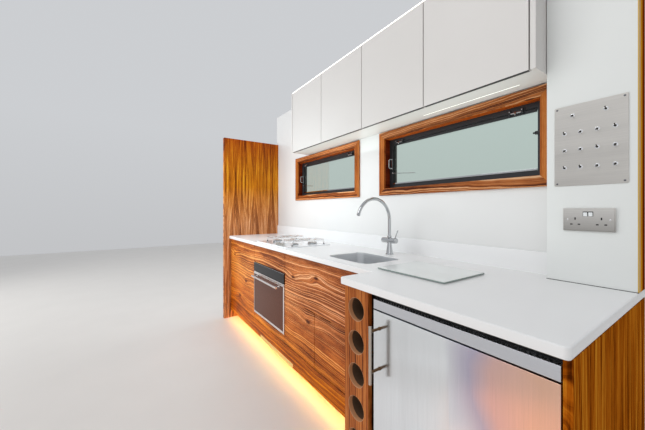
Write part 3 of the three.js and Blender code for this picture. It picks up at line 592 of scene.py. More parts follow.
# %% Ease the edges with modifiers
def ease_edges(piece, width):
    """Joins a node's facets, merges its flat faces, bevels its edges and evens its shading."""
    piece.modifiers.new("join facets", "NODES").node_group = join_facets
    merge = piece.modifiers.new("merge flat faces", "DECIMATE")
    merge.decimate_type = "DISSOLVE"
    merge.angle_limit = math.radians(0.5)
    edge = piece.modifiers.new("soft edge", "BEVEL")
    edge.limit_method = "ANGLE"
    edge.angle_limit = math.radians(30)
    edge.width = width / 1000
    edge.segments = 2
    edge.harden_normals = True
    piece.modifiers.new("even shading", "WEIGHTED_NORMAL").keep_sharp = False


def dress(finish, names, width=1.1):
    """Gives boards of the frame their finish and edges eased by a width in millimetres."""
    for name in names.split():
        materials = nodes[name].data.materials
        materials.clear()
        materials.append(finishes[finish])
        if width:
            ease_edges(nodes[name], width)


print("nodes to dress:", len(nodes))

# %% Dress the boards, doors and panels
dress("walnut_front", "oven_front_above oven_front_below bottom_band corner_return", 0.8)
dress("walnut_front", "base_door_near base_door_far far_cupboard_door pan_drawer_front", 0.8)
dress("walnut_board", "bulkhead")
dress("walnut_end", "end_panel")
dress("walnut_golden", "column_end_panel")
dress("walnut_upright", "wine_rack_front")
dress("walnut_rail", "window_frame_near window_frame_far")
dress("lining_gloss", "cabin_side")
dress("column_white", "service_column")
dress("worktop_cast", "worktop", 0.8)
dress("carcass_board", "divider_sink divider_oven_near divider_oven_far divider_bulkhead")
dress("carcass_board", "base_floor oven_support")
# The fridge bay's side is black, painted shade in the gap beside the fridge; the plinth is black too.
dress("textured_black", "plinth fridge_bay_side")
dress("white_lacquer", "wall_cupboard")
dress("white_lacquer", "wall_door_1 wall_door_2 wall_door_3 wall_door_4", 1.5)
dress("tube_brown", "wine_tube_1 wine_tube_2 wine_tube_3 wine_tube_4 wine_tube_5", 0)
# The heater grille takes the painted glow.
dress("grille_painted_glow", "heater_grille")
dress("steel_level", "fridge_door")
dress("steel_strip", "fridge_control_strip")
dress("steel_inside", "oven_body")
dress("moulded_white", "fridge_cabinet")
# The oven's glass mirrors in orange, a painted warm reflection.
dress("dark_pane_warm_reflection", "oven_control_panel oven_door")
dress("birch_ply", "pan_drawer_box")
dress("hull_paint", "outer_skin")
dress("powder_black", "window_vent_near window_vent_far")
dress("window_pane", "window_glass_near window_glass_far", 0.5)
dress("frosted_cover", "sink_cover")
dress("steel_bowl", "sink_bowl")
dress("steel_plate", "switch_plate socket_outlet", 0.5)
dress("chrome_polished", "tap_body tap_spout oven_handle fridge_handle pan_support_near pan_support_far", 0.5)
dress("enamel", "hob")
print("nodes dressed:", sum(1 for node in nodes.values() if node.modifiers or node.data.materials))

# %% [markdown]
# ## A kit for small parts
# The fittings need true curves, so they are built as meshes from a few ways of making: a rounded
# block, a turned profile, a bent rod, a skin over a row of rings and a pierced plate. Each part is
# drawn on a face of the galley with its own axes: u to the right, v up and w out of the face. Two
# values along an axis are a span, and a few short helpers read, shrink and share out such spans.
# The last helper gathers the shapes of a fitting into one object, shades it and makes it ride its body.

# %% Axes on a face
FACES = {
    "front": ((1, 0, 0), (0, 0, 1), (0, -1, 0)),
    "back": ((-1, 0, 0), (0, 0, 1), (0, 1, 0)),
    "up": ((1, 0, 0), (0, 1, 0), (0, 0, 1)),
    "near": ((0, 1, 0), (0, 0, 1), (1, 0, 0)),
    "far": ((0, -1, 0), (0, 0, 1), (-1, 0, 0)),
}


def on_face(face, x, y, z):
    """The matrix that carries u, v and w on that face to the frame's X, Y and Z."""
    return Matrix.Translation((x, y, z)) @ Matrix(FACES[face]).transposed().to_4x4()


def mm(*sizes):
    """Millimetres to metres, because fittings are drawn in millimetres."""
    return [size / 1000 for size in sizes] if len(sizes) > 1 else sizes[0] / 1000


def moved(where, u, v, w):
    """Another spot on a face, so many millimetres from the first."""
    return where @ Matrix.Translation(mm(u, v, w))


def spots(where, *points):
    """Points in millimetres on a face, as places in the frame."""
    return [where @ Vector(mm(*point)) for point in points]


FRAME_AXES = on_face("up", 0, 0, 0)
print("one step out of the front face:", tuple(on_face("front", 0, 0, 0) @ Vector((0, 0, 1))))

# %% Spans
def spans(name):
    """The two ends of a node's box along X, along Y and along Z."""
    return list(zip(*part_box(name)))


def middle(span):
    return (span[0] + span[1]) / 2


def inset(span, margin):
    return span[0] + margin, span[1] - margin


def around(value, half):
    return value - half, value + half


def centred(span):
    """A span of the same length with 0 in its middle."""
    return around(0, (span[1] - span[0]) / 2)


def mirrored(span):
    """A span along X as the back face sees it, where u runs the other way."""
    return -span[1], -span[0]


def spread(span, count):
    """The places that part a span into a count of equal steps, with its two ends."""
    return [span[0] + (span[1] - span[0]) * i / count for i in range(count + 1)]


worktop_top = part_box("hob")[0].z
print("height of the worktop in metres:", round(worktop_top, 3))

# %% Skins and blocks
def skin(rings, ends="closed"):
    """Joins a row of rings with the same number of points; the ends are closed or joined."""
    shape = bmesh.new()
    rows = [[shape.verts.new(point) for point in ring] for ring in rings]
    pairs = list(zip(rows, rows[1:]))
    if ends == "joined":
        pairs.append((rows[-1], rows[0]))
    count = len(rows[0])
    for low, high in pairs:
        for i in range(count):
            j = (i + 1) % count
            shape.faces.new((low[i], low[j], high[j], high[i]))
    if ends == "closed":
        shape.faces.new(rows[0][::-1])
        shape.faces.new(rows[-1])
    bmesh.ops.remove_doubles(shape, verts=shape.verts, dist=1e-6)
    return shape


def block(where, u, v, w, edge=0.0, steps=2):
    """A block between two values along u, v and w, with its edges rounded."""
    shape = bmesh.new()
    size = Matrix.Diagonal([*[abs(end - start) for start, end in (u, v, w)], 1.0])
    centre = Matrix.Translation([middle(span) for span in (u, v, w)])
    bmesh.ops.create_cube(shape, size=1.0, matrix=where @ centre @ size)
    if edge:
        bmesh.ops.bevel(shape, geom=shape.edges[:], offset=edge, segments=steps, profile=0.5, affect="EDGES")
    return shape


print("faces of a rounded block:", len(block(FRAME_AXES, (0, 1), (0, 1), (0, 1), 0.1).faces))


# %% Turned parts and rods
def circle(count):
    """The cosine and sine of each of a count of turns round a circle."""
    turns = [2 * math.pi * i / count for i in range(count)]
    return [(math.cos(turn), math.sin(turn)) for turn in turns]


def turned(where, profile, steps=40, ends="closed"):
    """A part turned on a lathe: its profile is radius and height in millimetres, end to end."""
    rings = []
    for radius, height in profile:
        rings.append(spots(where, *[(radius * a, radius * b, height) for a, b in circle(steps)]))
    return skin(rings, ends)


def rod(points, radius, sides=16):
    """A round rod bent along points; the radius is one number or one for each point."""
    path = [Vector(point) for point in points]
    radii = radius if isinstance(radius, list) else [radius] * len(path)
    heading = (path[1] - path[0]).normalized()
    side = heading.orthogonal().normalized()
    rings = []
    for i, point in enumerate(path):
        ahead = (path[min(i + 1, len(path) - 1)] - path[max(i - 1, 0)]).normalized()
        side = heading.rotation_difference(ahead) @ side
        heading = ahead
        other = heading.cross(side)
        rings.append([point + radii[i] * (side * a + other * b) for a, b in circle(sides)])
    return skin(rings)


print("faces of a turned peg:", len(turned(FRAME_AXES, [(0, 0), (5, 0), (5, 20), (0, 20)]).faces))

# %% Rounded outlines, plates and frames
def rounded(u, v, radius, steps=5):
    """The outline of a rectangle with round corners."""
    left, right = inset(u, radius)
    bottom, top = inset(v, radius)
    outline = []
    corners = ((right, bottom, -1), (right, top, 0), (left, top, 1), (left, bottom, 2))
    for corner_u, corner_v, quarter in corners:
        for share in spread((quarter, quarter + 1), steps):
            turn = math.pi / 2 * share
            outline.append((corner_u + radius * math.cos(turn), corner_v + radius * math.sin(turn)))
    return outline


def ring_on(where, u, v, radius, pull, w):
    """A rounded outline pulled in all round and set at a height w over its face."""
    outline = rounded(inset(u, pull), inset(v, pull), max(radius - pull, 0.0003))
    return [where @ Vector((a, b, w)) for a, b in outline]


def plate(where, u, v, w, radius, edge):
    """A plate with round corners whose front edge is rolled over."""
    rings = [ring_on(where, u, v, radius, 0, w[0])]
    for turn in spread((0, math.pi / 2), 3):
        height = w[1] - edge + edge * math.sin(turn)
        rings.append(ring_on(where, u, v, radius, edge * (1 - math.cos(turn)), height))
    return skin(rings)


def frame_of(where, u, v, w, radius, bars, edge=0.0008):
    """A flat frame; bars are its widths at the left, right, bottom and top."""
    left, right, bottom, top = bars
    hole = ((u[0] + left, u[1] - right), (v[0] + bottom, v[1] - top))
    inner = max(radius - min(bars), 0.0006)
    rings = [
        ring_on(where, u, v, radius, 0, w[0]), ring_on(where, u, v, radius, 0, w[1] - edge),
        ring_on(where, u, v, radius, edge, w[1]), ring_on(where, *hole, inner + edge, -edge, w[1]),
        ring_on(where, *hole, inner, 0, w[1] - edge), ring_on(where, *hole, inner, 0, w[0]),
    ]
    return skin(rings, "joined")


print("points of a rounded outline:", len(rounded((0, 1), (0, 1), 0.2)))

# %% Pierced plates
# A cell's corners in turn, the same from behind, and the step to the cell beyond each side.
CELL = ((0, 0), (1, 0), (1, 1), (0, 1))
CELL_FROM_BEHIND = ((0, 0), (0, 1), (1, 1), (1, 0))
BEYOND_SIDE = ((0, -1), (1, 0), (0, 1), (-1, 0))


def pierced(where, u, v, w, holes):
    """A flat plate with rectangular holes, built cell by cell, with walls where a cell is left out."""
    us = sorted({*u, *[value for hole in holes for value in hole[0]]})
    vs = sorted({*v, *[value for hole in holes for value in hole[1]]})
    solid = set()
    for i, cell_u in enumerate(zip(us, us[1:])):
        for j, cell_v in enumerate(zip(vs, vs[1:])):
            if not any(a[0] < middle(cell_u) < a[1] and b[0] < middle(cell_v) < b[1] for a, b in holes):
                solid.add((i, j))
    shape = bmesh.new()
    points = {}

    def corner(i, j, k):
        if (i, j, k) not in points:
            points[i, j, k] = shape.verts.new(where @ Vector((us[i], vs[j], w[k])))
        return points[i, j, k]

    for i, j in sorted(solid):
        shape.faces.new([corner(i + a, j + b, 1) for a, b in CELL])
        shape.faces.new([corner(i + a, j + b, 0) for a, b in CELL_FROM_BEHIND])
        for (a, b), (c, d), (step_i, step_j) in zip(CELL, CELL[1:] + CELL[:1], BEYOND_SIDE):
            if (i + step_i, j + step_j) not in solid:
                ends = ((i + a, j + b), (i + c, j + d))
                shape.faces.new([corner(*end, 0) for end in ends] + [corner(*end, 1) for end in ends[::-1]])
    bmesh.ops.dissolve_limit(shape, angle_limit=math.radians(1), verts=shape.verts, edges=shape.edges)
    return shape


one_hole = [((1, 2), (1, 2))]
print("faces of a plate with one hole:", len(pierced(FRAME_AXES, (0, 3), (0, 3), (0, 1), one_hole).faces))

# %% Gather shapes into one fitting
fittings = {}


def assemble(name, body, shapes, stands_for=(), crease=38):
    """One object from the shapes of each finish, riding its body in the frame."""
    whole = bmesh.new()
    for index, finish in enumerate(shapes):
        for shape in shapes[finish]:
            bmesh.ops.recalc_face_normals(shape, faces=shape.faces)
            for face in shape.faces:
                face.material_index = index
                face.smooth = True
            part = bpy.data.meshes.new("part")
            shape.to_mesh(part)
            shape.free()
            whole.from_mesh(part)
            bpy.data.meshes.remove(part)
    mesh = bpy.data.meshes.new(name)
    whole.to_mesh(mesh)
    whole.free()
    for finish in shapes:
        mesh.materials.append(finishes[finish])
    mesh.set_sharp_from_angle(angle=math.radians(crease))
    piece = bpy.data.objects.new(name, mesh)
    bpy.context.scene.collection.objects.link(piece)
    piece.modifiers.new("even shading", "WEIGHTED_NORMAL").keep_sharp = True
    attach(piece, body)
    if stands_for:
        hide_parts(*stands_for)
    fittings[name] = len(mesh.polygons)
    return name


print("fittings so far:", len(fittings))


# %% A screw head
def screw_head(where, radius=3.2, height=1.4):
    """A domed screw head with a socket in its middle."""
    dome = ((1, 0), (0.98, 0.45), (0.8, 0.85), (0.5, 1), (0.42, 1), (0.36, 0.3), (0, 0.3))
    return turned(where, [(radius * r, height * h) for r, h in dome], 18)


print("points on a screw head:", len(screw_head(FRAME_AXES).verts))

# %% [markdown]
# ## Walnut window frames
# Each window is cased in four walnut bars: a flat face on the wall and a lining that runs out to the
# steel. A joiner cuts the bars at 45 degrees so that the grain turns the corner. One outline for the
# face and one for the lining are carried round the opening here and cut at each mitre. The upright
# bars get the finish whose grain stands up. The linings get darker walnut, painted shade in the
# reveals, and the top lining's underside an orange tone, a painted glow.

# %% Mitre four bars round each window
BAR_FACE, BAR_PROUD, LINER, ARRIS = mm(50, 15, 12, 2)
# The side and foot linings get painted shade, the top lining's underside a painted glow.
BAR_AND_LINING = (
    ("walnut_rail", "walnut_painted_shade"), ("walnut_upright", "walnut_painted_shade"),
    ("walnut_rail", "walnut_soffit_painted_glow"), ("walnut_upright", "walnut_painted_shade"),
)


def bar_sections(wall, outside):
    """The face bar and the lining as (distance in from the frame's edge, Y) outlines."""
    face = wall - BAR_PROUD
    soft = ARRIS * 0.3
    edge = [(0, wall), (0, face + ARRIS), (soft, face + soft), (ARRIS, face)]
    bar = edge + [(BAR_FACE - t, y) for t, y in edge[::-1]]
    inner = BAR_FACE - LINER
    return bar, [(inner, wall), (BAR_FACE, wall), (BAR_FACE, outside), (inner, outside)]


def window_bars(side):
    x, (front, outside), z = spans("window_frame_" + side)
    sections = bar_sections(front + BAR_PROUD, outside)
    corners = [(x[0], z[0], 1, 1), (x[1], z[0], -1, 1), (x[1], z[1], -1, -1), (x[0], z[1], 1, -1)]
    shapes = {}
    for k, looks in enumerate(BAR_AND_LINING):
        for section, finish in zip(sections, looks):
            ends = []
            for a, b, inward_a, inward_b in (corners[k], corners[(k + 1) % 4]):
                ends.append([(a + inward_a * t, y, b + inward_b * t) for t, y in section])
            shapes.setdefault(finish, []).append(skin(ends))
    return assemble("window_bars_" + side, "root", shapes, ["window_frame_" + side], 30)


print("window bars:", window_bars("near"), window_bars("far"))

# %% [markdown]
# ## Catches and stays on the vents
# The dark vents open outwards at the bottom. On the inside each has two dark catches with chrome
# levers on its top bar, an upright chrome handle and a sliding stay on the left bar, a dark keeper
# on the right bar and a bright rail along the foot. They are small, but through the bright opening
# their outlines show, so each is built from turned and bent parts.

# %% A catch for the vents
def vent_catch(where):
    """A catch: two cheeks on a foot, and between them the pin and the lever that frees the vent."""
    dark = [plate(where, mm(-38, 38), mm(-13, 12), mm(0, 3), mm(3), mm(0.8))]
    dark += [block(where, mm(side * 32, side * 22), mm(-15, 8), mm(2.6, 13), mm(2), 3) for side in (-1, 1)]
    pin = rod(spots(where, (-24, -7, 8), (24, -7, 8)), mm(4.2), 14)
    lever_path = spots(where, (0, -2, 10), (0, -8, 15), (0, -17, 17), (0, -20, 16))
    lever = rod(lever_path, mm(3.0, 3.2, 2.8, 1.4), 12)
    heads = [screw_head(moved(where, side * 27, 3, 13)) for side in (-1, 1)]
    return [pin, lever, *heads], dark


print("shapes in a catch, bright and dark:", [len(shapes) for shapes in vent_catch(FRAME_AXES)])

# %% Fit the vents
VENT_BAR, FLANGE_INSET = mm(27, 28)


def vent_fittings(side):
    x, (face, _), z = spans("window_vent_" + side)
    foot_bar, top_bar = inset(z, FLANGE_INSET + VENT_BAR)
    metal, dark = [], []
    for share in (0.12, 0.86):
        where = on_face("front", x[0] + (x[1] - x[0]) * share, face, top_bar + mm(8))
        for gathered, made in zip((metal, dark), vent_catch(where)):
            gathered.extend(made)
    across = inset(x, FLANGE_INSET + VENT_BAR - mm(2))
    depth = (face + mm(1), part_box("window_glass_" + side)[0].y - mm(3))
    dark.append(block(FRAME_AXES, across, depth, (top_bar - mm(13), top_bar + mm(2)), mm(1.5)))
    metal.append(block(FRAME_AXES, across, depth, (foot_bar - mm(3), foot_bar + mm(6)), mm(1.2)))
    left_bar, right_bar = inset(x, FLANGE_INSET + VENT_BAR / 2)
    left = on_face("front", left_bar, face, middle(z))
    metal.append(plate(left, mm(-6, 6), mm(-40, 40), mm(0, 2.5), mm(3), mm(0.8)))
    handle = ((0, -32, 2), (0, -32, 22), (0, -22, 30), (0, 22, 30), (0, 32, 22), (0, 32, 2))
    metal.append(rod(spots(left, *handle), mm(3.4), 12))
    metal.append(rod(spots(left, (12, -66, 3), (202, -82, 3)), mm(2.2), 10))
    metal.append(turned(moved(left, 12, -66, 0), [(5, 0), (5, 5), (3, 6), (0, 6)], 20))
    right = on_face("front", right_bar, face, middle(z) + mm(28))
    dark.append(block(right, mm(-16, 9), mm(-8, 8), mm(0, 9), mm(1.5)))
    dark.append(block(right, mm(-24, -10), mm(-4, 4), mm(4, 9), mm(1)))
    assemble("vent_rails_" + side, "root", {"powder_black": dark})
    return assemble("vent_fittings_" + side, "root", {"chrome_polished": metal})


def vent_seals(side):
    """Rubber where the pane meets its bars, inside and out."""
    x, y, z = spans("window_glass_" + side)
    reach = mm(8.4)
    seals = []
    for face, level, u in (("front", y[0], x), ("back", y[1], mirrored(x))):
        where = on_face(face, 0, level, 0)
        seals.append(frame_of(where, inset(u, reach), inset(z, reach), mm(0, 2), mm(3), [mm(3.5)] * 4))
    return assemble("vent_seals_" + side, "root", {"textured_black": seals})


for side in ("near", "far"):
    print("vent fittings:", vent_fittings(side), vent_seals(side))


# %% Screws round the outer flanges
def flange_screws(side):
    x, y, z = spans("window_vent_" + side)
    columns = spread(inset(x, mm(10)), 8)
    rows = spread(inset(z, mm(10)), 4)
    places = [(column, row) for column in columns for row in (rows[0], rows[-1])]
    places += [(column, row) for row in rows[1:-1] for column in (columns[0], columns[-1])]
    heads = [screw_head(on_face("back", column, y[1] - mm(1.35), row)) for column, row in places]
    return assemble("flange_screws_" + side, "root", {"chrome_polished": heads})


print("flange screws:", flange_screws("near"), flange_screws("far"))

# %% [markdown]
# ## The switch panel and the socket
# Beside the wall cupboards a brushed plate carries fourteen little toggle switches for the boat's
# lights and pumps. A toggle is a hexagon nut, a threaded bush and a tapered lever with a rounded
# tip. Each lever leans up or down, so a fixed pattern decides which are switched on. The double
# socket below is a thicker plate with two white rockers in dark recesses; its pin holes are real
# holes over a dark insert.

# %% Switch panel
PANEL_THICKNESS = 3
FOUR_ABREAST = (-71, -23.5, 23.5, 71)
TOGGLE_ROWS = ((115, (-47, 47)), (48, FOUR_ABREAST), (-18, FOUR_ABREAST), (-86, FOUR_ABREAST))
SWITCHED_ON = {(0, 1), (1, 0), (1, 3), (2, 2), (3, 0), (3, 1)}


def toggle(where, leans_up):
    """A nut on a washer, a threaded bush and a lever with a round tip."""
    washer = turned(where, [(7.4, 0), (7.4, 0.6), (7.0, 0.9), (0, 0.9)], 28)
    nut = turned(where, [(6.2, 0.8), (6.2, 2.7), (5.4, 3.2), (0, 3.2)], 6)
    thread = [(3.9 if i % 2 else 3.5, 3.0 + 0.45 * i) for i in range(7)]
    bush = turned(where, [*thread, (3.3, 6.2), (0, 6.2)], 24)
    root, tip = spots(where, (0, 0, 5.4), (0, 5.5 if leans_up else -5.5, 15.5))
    path = [root.lerp(tip, share) for share in (0, 0.5, 0.86, 0.94, 0.98, 1.0)]
    lever = rod(path, mm(1.5, 1.9, 2.3, 2.1, 1.5, 0.5), 14)
    return [washer, nut], [bush, lever]


def switch_panel():
    x, (_, wall), z = spans("switch_plate")
    face = plate(on_face("front", 0, wall, 0), x, z, mm(0, PANEL_THICKNESS), mm(4), mm(0.7))
    assemble("switch_panel_face", "root", {"steel_plate": [face]}, ["switch_plate"])
    bright, dark, screws = [], [], []
    where = on_face("front", middle(x), wall, middle(z))
    for row, (height, offsets) in enumerate(TOGGLE_ROWS):
        for column, offset in enumerate(offsets):
            spot = moved(where, offset, height, PANEL_THICKNESS)
            for gathered, made in zip((bright, dark), toggle(spot, (row, column) in SWITCHED_ON)):
                gathered.extend(made)
    for a in inset(x, mm(9)):
        for b in inset(z, mm(9)):
            screws.append(screw_head(on_face("front", a, wall - mm(PANEL_THICKNESS), b), 3.4, 1.5))
    # The bushes and levers are in the darker chrome, a painted dark reflection.
    shapes = {"chrome_bright": bright, "toggle_dark_reflection": dark, "steel_inside": screws}
    return assemble("switch_panel_toggles", "root", shapes)


print("faces of the toggles:", fittings[switch_panel()])

# %% Double socket
OUTLETS = (-37, 37)
PIN_HOLES = (((-2.1, 2.1), (-1, 8)), ((-15, -7.5), (-20.2, -15.8)), ((7.5, 15), (-20.2, -15.8)))
ROCKERS = (-7.5, 7.5)
ROCKER_PROUD, SOCKET_EDGE = mm(2, 3)


def double_socket():
    x, y, z = spans("socket_outlet")
    where = on_face("front", middle(x), y[1], middle(z))
    u, v = centred(x), centred(z)
    field = (inset(u, SOCKET_EDGE), inset(v, SOCKET_EDGE))
    face = y[1] - y[0] - ROCKER_PROUD
    backing = face - mm(1.2)
    holes = [(mm(outlet + a, outlet + b), mm(*v)) for outlet in OUTLETS for (a, b), v in PIN_HOLES]
    steel = [
        pierced(where, *field, (backing, face), holes),
        frame_of(where, u, v, (0, face), mm(2), [SOCKET_EDGE] * 4, mm(0.6)),
    ]
    assemble("socket_face", "root", {"steel_socket": steel}, ["socket_outlet"])
    insert = block(where, *field, (mm(1), backing - mm(0.8)))
    assemble("socket_insert", "root", {"textured_black": [insert]})
    recesses, rockers = [], []
    pressed = where @ Matrix.Rotation(math.radians(7), 4, "X")
    for offset in ROCKERS:
        recess = mm(*around(offset, 7.3)), mm(12.2, 30.4), (face, face + mm(0.2))
        recesses.append(plate(where, *recess, mm(1.2), mm(0.1)))
        rocker = mm(*around(offset, 5.8)), mm(13.8, 28.2), (face - mm(2), face + mm(0.2))
        rockers.append(block(pressed, *rocker, mm(0.8)))
    screws = [screw_head(on_face("front", a, y[1] - face, middle(z)), 2.6, 0.8) for a in inset(x, mm(13))]
    assemble("socket_recesses", "root", {"textured_black": recesses})
    return assemble("socket_rockers", "root", {"chrome_bright": screws, "moulded_white": rockers})


print("socket pieces:", double_socket())

# %% [markdown]
# ## The sink
# The bowl is pressed from one sheet: straight rounded walls, a tight curve into a floor that falls
# a little to the waste. A press can be copied with a skin over rounded outlines that shrink as they
# go down. The inside and outside are one closed skin, so the bowl has its real thickness.

# %% Press the bowl
SINK_RADIUS, SHEET, FLANGE, PLAY, LEAN, CURVE, WASTE = mm(45, 1.6, 8, 0.25, 4, 22, 43)
BEND_STEPS = 6


def pressed_bowl():
    """The bowl's closed skin and the middle of its floor."""
    x, y, (_, top) = spans("sink_bowl")
    u, v = inset(x, FLANGE), inset(y, FLANGE)
    rim = worktop_top - mm(3.5)
    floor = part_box("worktop")[0].z - mm(134)

    def ring(sheet, pull, w):
        return ring_on(FRAME_AXES, u, v, SINK_RADIUS + sheet, pull, w)

    def bent(sheet, turn):
        """A ring on the curve between wall and floor, on the inside or a sheet's thickness out."""
        pull = LEAN - sheet + CURVE * (1 - math.cos(turn))
        return ring(sheet, pull, floor - sheet + CURVE * (1 - math.sin(turn)))

    rings = [ring_on(FRAME_AXES, x, y, SINK_RADIUS, 0, w) for w in (top - SHEET, top)]
    rings += [ring(0, PLAY, top), ring(0, PLAY, rim)]
    rings += [ring(0, PLAY + SHEET * 0.4, rim + mm(0.4)), ring(0, PLAY + SHEET, rim - mm(0.4))]
    turns = spread((0, math.pi / 2), BEND_STEPS)
    rings += [bent(0, turn) for turn in turns]
    centre = Vector((middle(u), middle(v), floor))
    headings = [math.atan2(p.y - centre.y, p.x - centre.x) for p in rings[-1]]
    for radius, drop in ((WASTE, mm(3)), (WASTE, mm(5)), (WASTE + SHEET, mm(5))):
        rings.append([centre + Vector((radius * math.cos(t), radius * math.sin(t), -drop)) for t in headings])
    rings.append(ring(0, LEAN + CURVE, floor - SHEET))
    rings += [bent(SHEET, turn) for turn in turns[::-1]]
    rings.append(ring(SHEET, -SHEET, top - SHEET - mm(2)))
    return skin(rings, "joined"), centre


bowl_skin, bowl_centre = pressed_bowl()
print("height of the bowl's floor in metres:", round(bowl_centre.z, 3))


# %% Fit the waste and the overflow
def fit_sink(bowl, centre):
    waste = on_face("up", centre.x, centre.y, centre.z - mm(5))
    cup = [(0, -34), (22, -34), (24, -30), (24, -12), (38, -8), (40, 0), (44.5, 2.2),
           (44.5, 3.2), (41, 3.8), (38, 2.4), (36, -4), (30, -6), (0, -6)]
    basket = [(0, -4), (33, -4), (34, -3), (34, -1), (31, 0.5), (9, -1.5), (6, 3), (4, 9),
              (6.5, 12), (5, 14), (0, 14.5)]
    steel = [bowl, turned(waste, cup), turned(waste, basket)]
    assemble("sink_pressed", "root", {"steel_bowl": steel}, ["sink_bowl"], 50)
    # The basket's holes and the overflow's slots aren't cut: dark discs and plates stand in for them, painted
    # shade.
    dark = []
    for i in range(10):
        spot = moved(waste @ Matrix.Rotation(2 * math.pi * i / 10, 4, "Z"), 21, 0, 0.2)
        dark.append(turned(spot, [(2.6, -1), (2.6, -0.25), (0, -0.25)], 14))
    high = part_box("sink_bowl")[1]
    overflow = on_face("front", centre.x, high.y - mm(12.2), high.z - mm(34))
    for offset in (-14, -7, 0, 7, 14):
        dark.append(plate(overflow, mm(*around(offset, 2)), mm(-4.5, 4.5), mm(0, 0.5), mm(1.9), mm(0.2)))
    return assemble("sink_hole_shade", "root", {"textured_black": dark})


print("sink:", fit_sink(bowl_skin, bowl_centre))

# %% [markdown]
# ## The tap
# A mixer tap on a tapered foot. Its body is a short barrel lying along the wall with the lever at
# one end, and a slim pipe rises from it and arches over the bowl. The pipe swivels, so it is an
# object of its own that rides the swivel body. Turned profiles make the foot and barrel, and a rod
# bent along a straight and an arc makes the pipe.

# %% Turn the foot and the barrel
TAP_X, TAP_Y, BARREL_HEIGHT = mm(442, 222, 989)


def tap_foot():
    where = on_face("up", TAP_X, TAP_Y, worktop_top)
    stem = [(0, 0), (25, 0), (25.2, 1.2), (24.6, 4.6), (23.4, 5.8), (21.8, 6.2), (21.0, 9), (19.0, 26),
            (16.4, 46), (14.6, 62), (14.0, 72), (13.4, 75.4), (12.4, 76.2), (12.2, 84), (0, 84)]
    stud = [(0, -54), (15, -54), (15, -0.5), (0, -0.5)]
    barrel = [(0, -57), (14.5, -57), (16.6, -56), (17.5, -54.5), (17.5, -36.4), (17.0, -36), (17.0, -35.2),
              (17.5, -34.8), (17.5, 33.2), (16.9, 33.6), (16.9, 34.6), (17.5, 35), (17.5, 54), (16.6, 56),
              (14.0, 57), (0, 57)]
    across = on_face("near", TAP_X, TAP_Y, BARREL_HEIGHT)
    shapes = [turned(where, stem, 44), turned(where, stud, 24), turned(across, barrel, 44)]
    root, tip = spots(across, (0, 12, 45), (-6, 67, 75))
    path = [root.lerp(tip, share) for share in (0, 0.12, 0.2, 0.6, 0.9, 0.96, 0.99, 1.0)]
    shapes.append(rod(path, mm(5.2, 5.0, 3.4, 3.0, 3.4, 3.2, 2.4, 0.8), 18))
    return assemble("tap_foot", "root", {"chrome_polished": shapes}, ["tap_body"])


print("tap:", tap_foot())

# %% Bend the pipe
ARC_RADIUS, ARC_HEIGHT = mm(133, 1117)
ARC_TURN = math.radians(166)


def tap_pipe():
    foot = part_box("tap_spout")[0].z
    path = [Vector((TAP_X, TAP_Y, height)) for height in spread((foot, ARC_HEIGHT), 4)[:-1]]
    for turn in spread((0, ARC_TURN), 40):
        ahead, up = ARC_RADIUS * (1 - math.cos(turn)), ARC_RADIUS * math.sin(turn)
        path.append(Vector((TAP_X, TAP_Y - ahead, ARC_HEIGHT + up)))
    ring = [(0, 0), (13.6, 0), (14, 0.6), (14, 9), (12.4, 11.6), (10.4, 12), (0, 12)]
    collar = turned(on_face("up", TAP_X, TAP_Y, foot), ring, 32)
    tip = path[-1]
    fall = (tip - path[-2]).normalized()
    sleeve = rod([tip - fall * back for back in mm(9, 8.4, 0.8, 0)], mm(10.2, 10.9, 10.9, 10.2), 24)
    shapes = [rod(path, mm(10), 24), collar, sleeve]
    assemble("tap_pipe", "tap_spout", {"chrome_polished": shapes}, ["tap_spout"])
    strainer = rod([tip - fall * mm(1), tip + fall * mm(0.6)], mm(7.6), 20)
    return assemble("tap_strainer", "tap_spout", {"textured_black": [strainer]})


print("pipe:", tap_pipe())

# %% [markdown]
# ## The hob
# Four gas burners stand on a white enamelled plate. Each is a cast ring, a slotted crown and a
# brushed steel cap, with a white spark pin beside it. The plate has a rolled rim and a raised collar
# round each burner. The pan supports are round wire welded into frames, on little rubber feet, so
# they are rods here, where the frame's own solids are square bars.

# %% Stack a burner and turn a knob
def burner(where, radius):
    """Its collar and spark pin, the ring and the slotted crown, and the cap, from the plate up."""
    collar = [(radius + 10, 0), (radius + 7, 1.0), (radius + 3, 1.2), (radius + 1, 0.6), (0, 0.6)]
    pin = [(2.2, 0), (2.2, 7), (0.9, 7.4), (0.9, 10.6), (0, 10.8)]
    white = [turned(where, collar, 44), turned(moved(where, 0, -radius - 3.6, 0), pin, 14)]
    ring = [(radius, 0), (radius, 2), (radius - 2, 4), (radius - 7, 4.6), (radius - 7, 0)]
    inner = radius - 6
    crown = [(inner - 3, 1), (inner, 5), (inner, 9.6), (0, 9.6)]
    metal = [turned(where, ring, 40, "joined"), turned(where, crown)]
    count = int(inner * 0.8)
    for i in range(count):
        spot = moved(where @ Matrix.Rotation(2 * math.pi * i / count, 4, "Z"), inner - 0.4, 0, 0)
        metal.append(block(spot, mm(-0.6, 1.4), mm(-0.9, 0.9), mm(5.2, 9.2)))
    lid = radius - 5
    cap = [(0, 9.8), (lid - 2, 9.8), (lid, 10.6), (lid, 12.4), (lid - 1.6, 14), (lid - 6, 14.8), (0, 15.4)]
    return white, metal, [turned(where, cap, 44)]


def knob(where):
    """A tapered knob with a raised grip across its top."""
    skirt = turned(where, [(13, 0.8), (13, 2.4), (11.6, 3.6), (10.8, 14), (10, 16), (0, 16.2)], 32)
    return [skirt, block(where, mm(-2.6, 2.6), mm(-10.4, 10.4), mm(12, 21), mm(1.6), 3)]


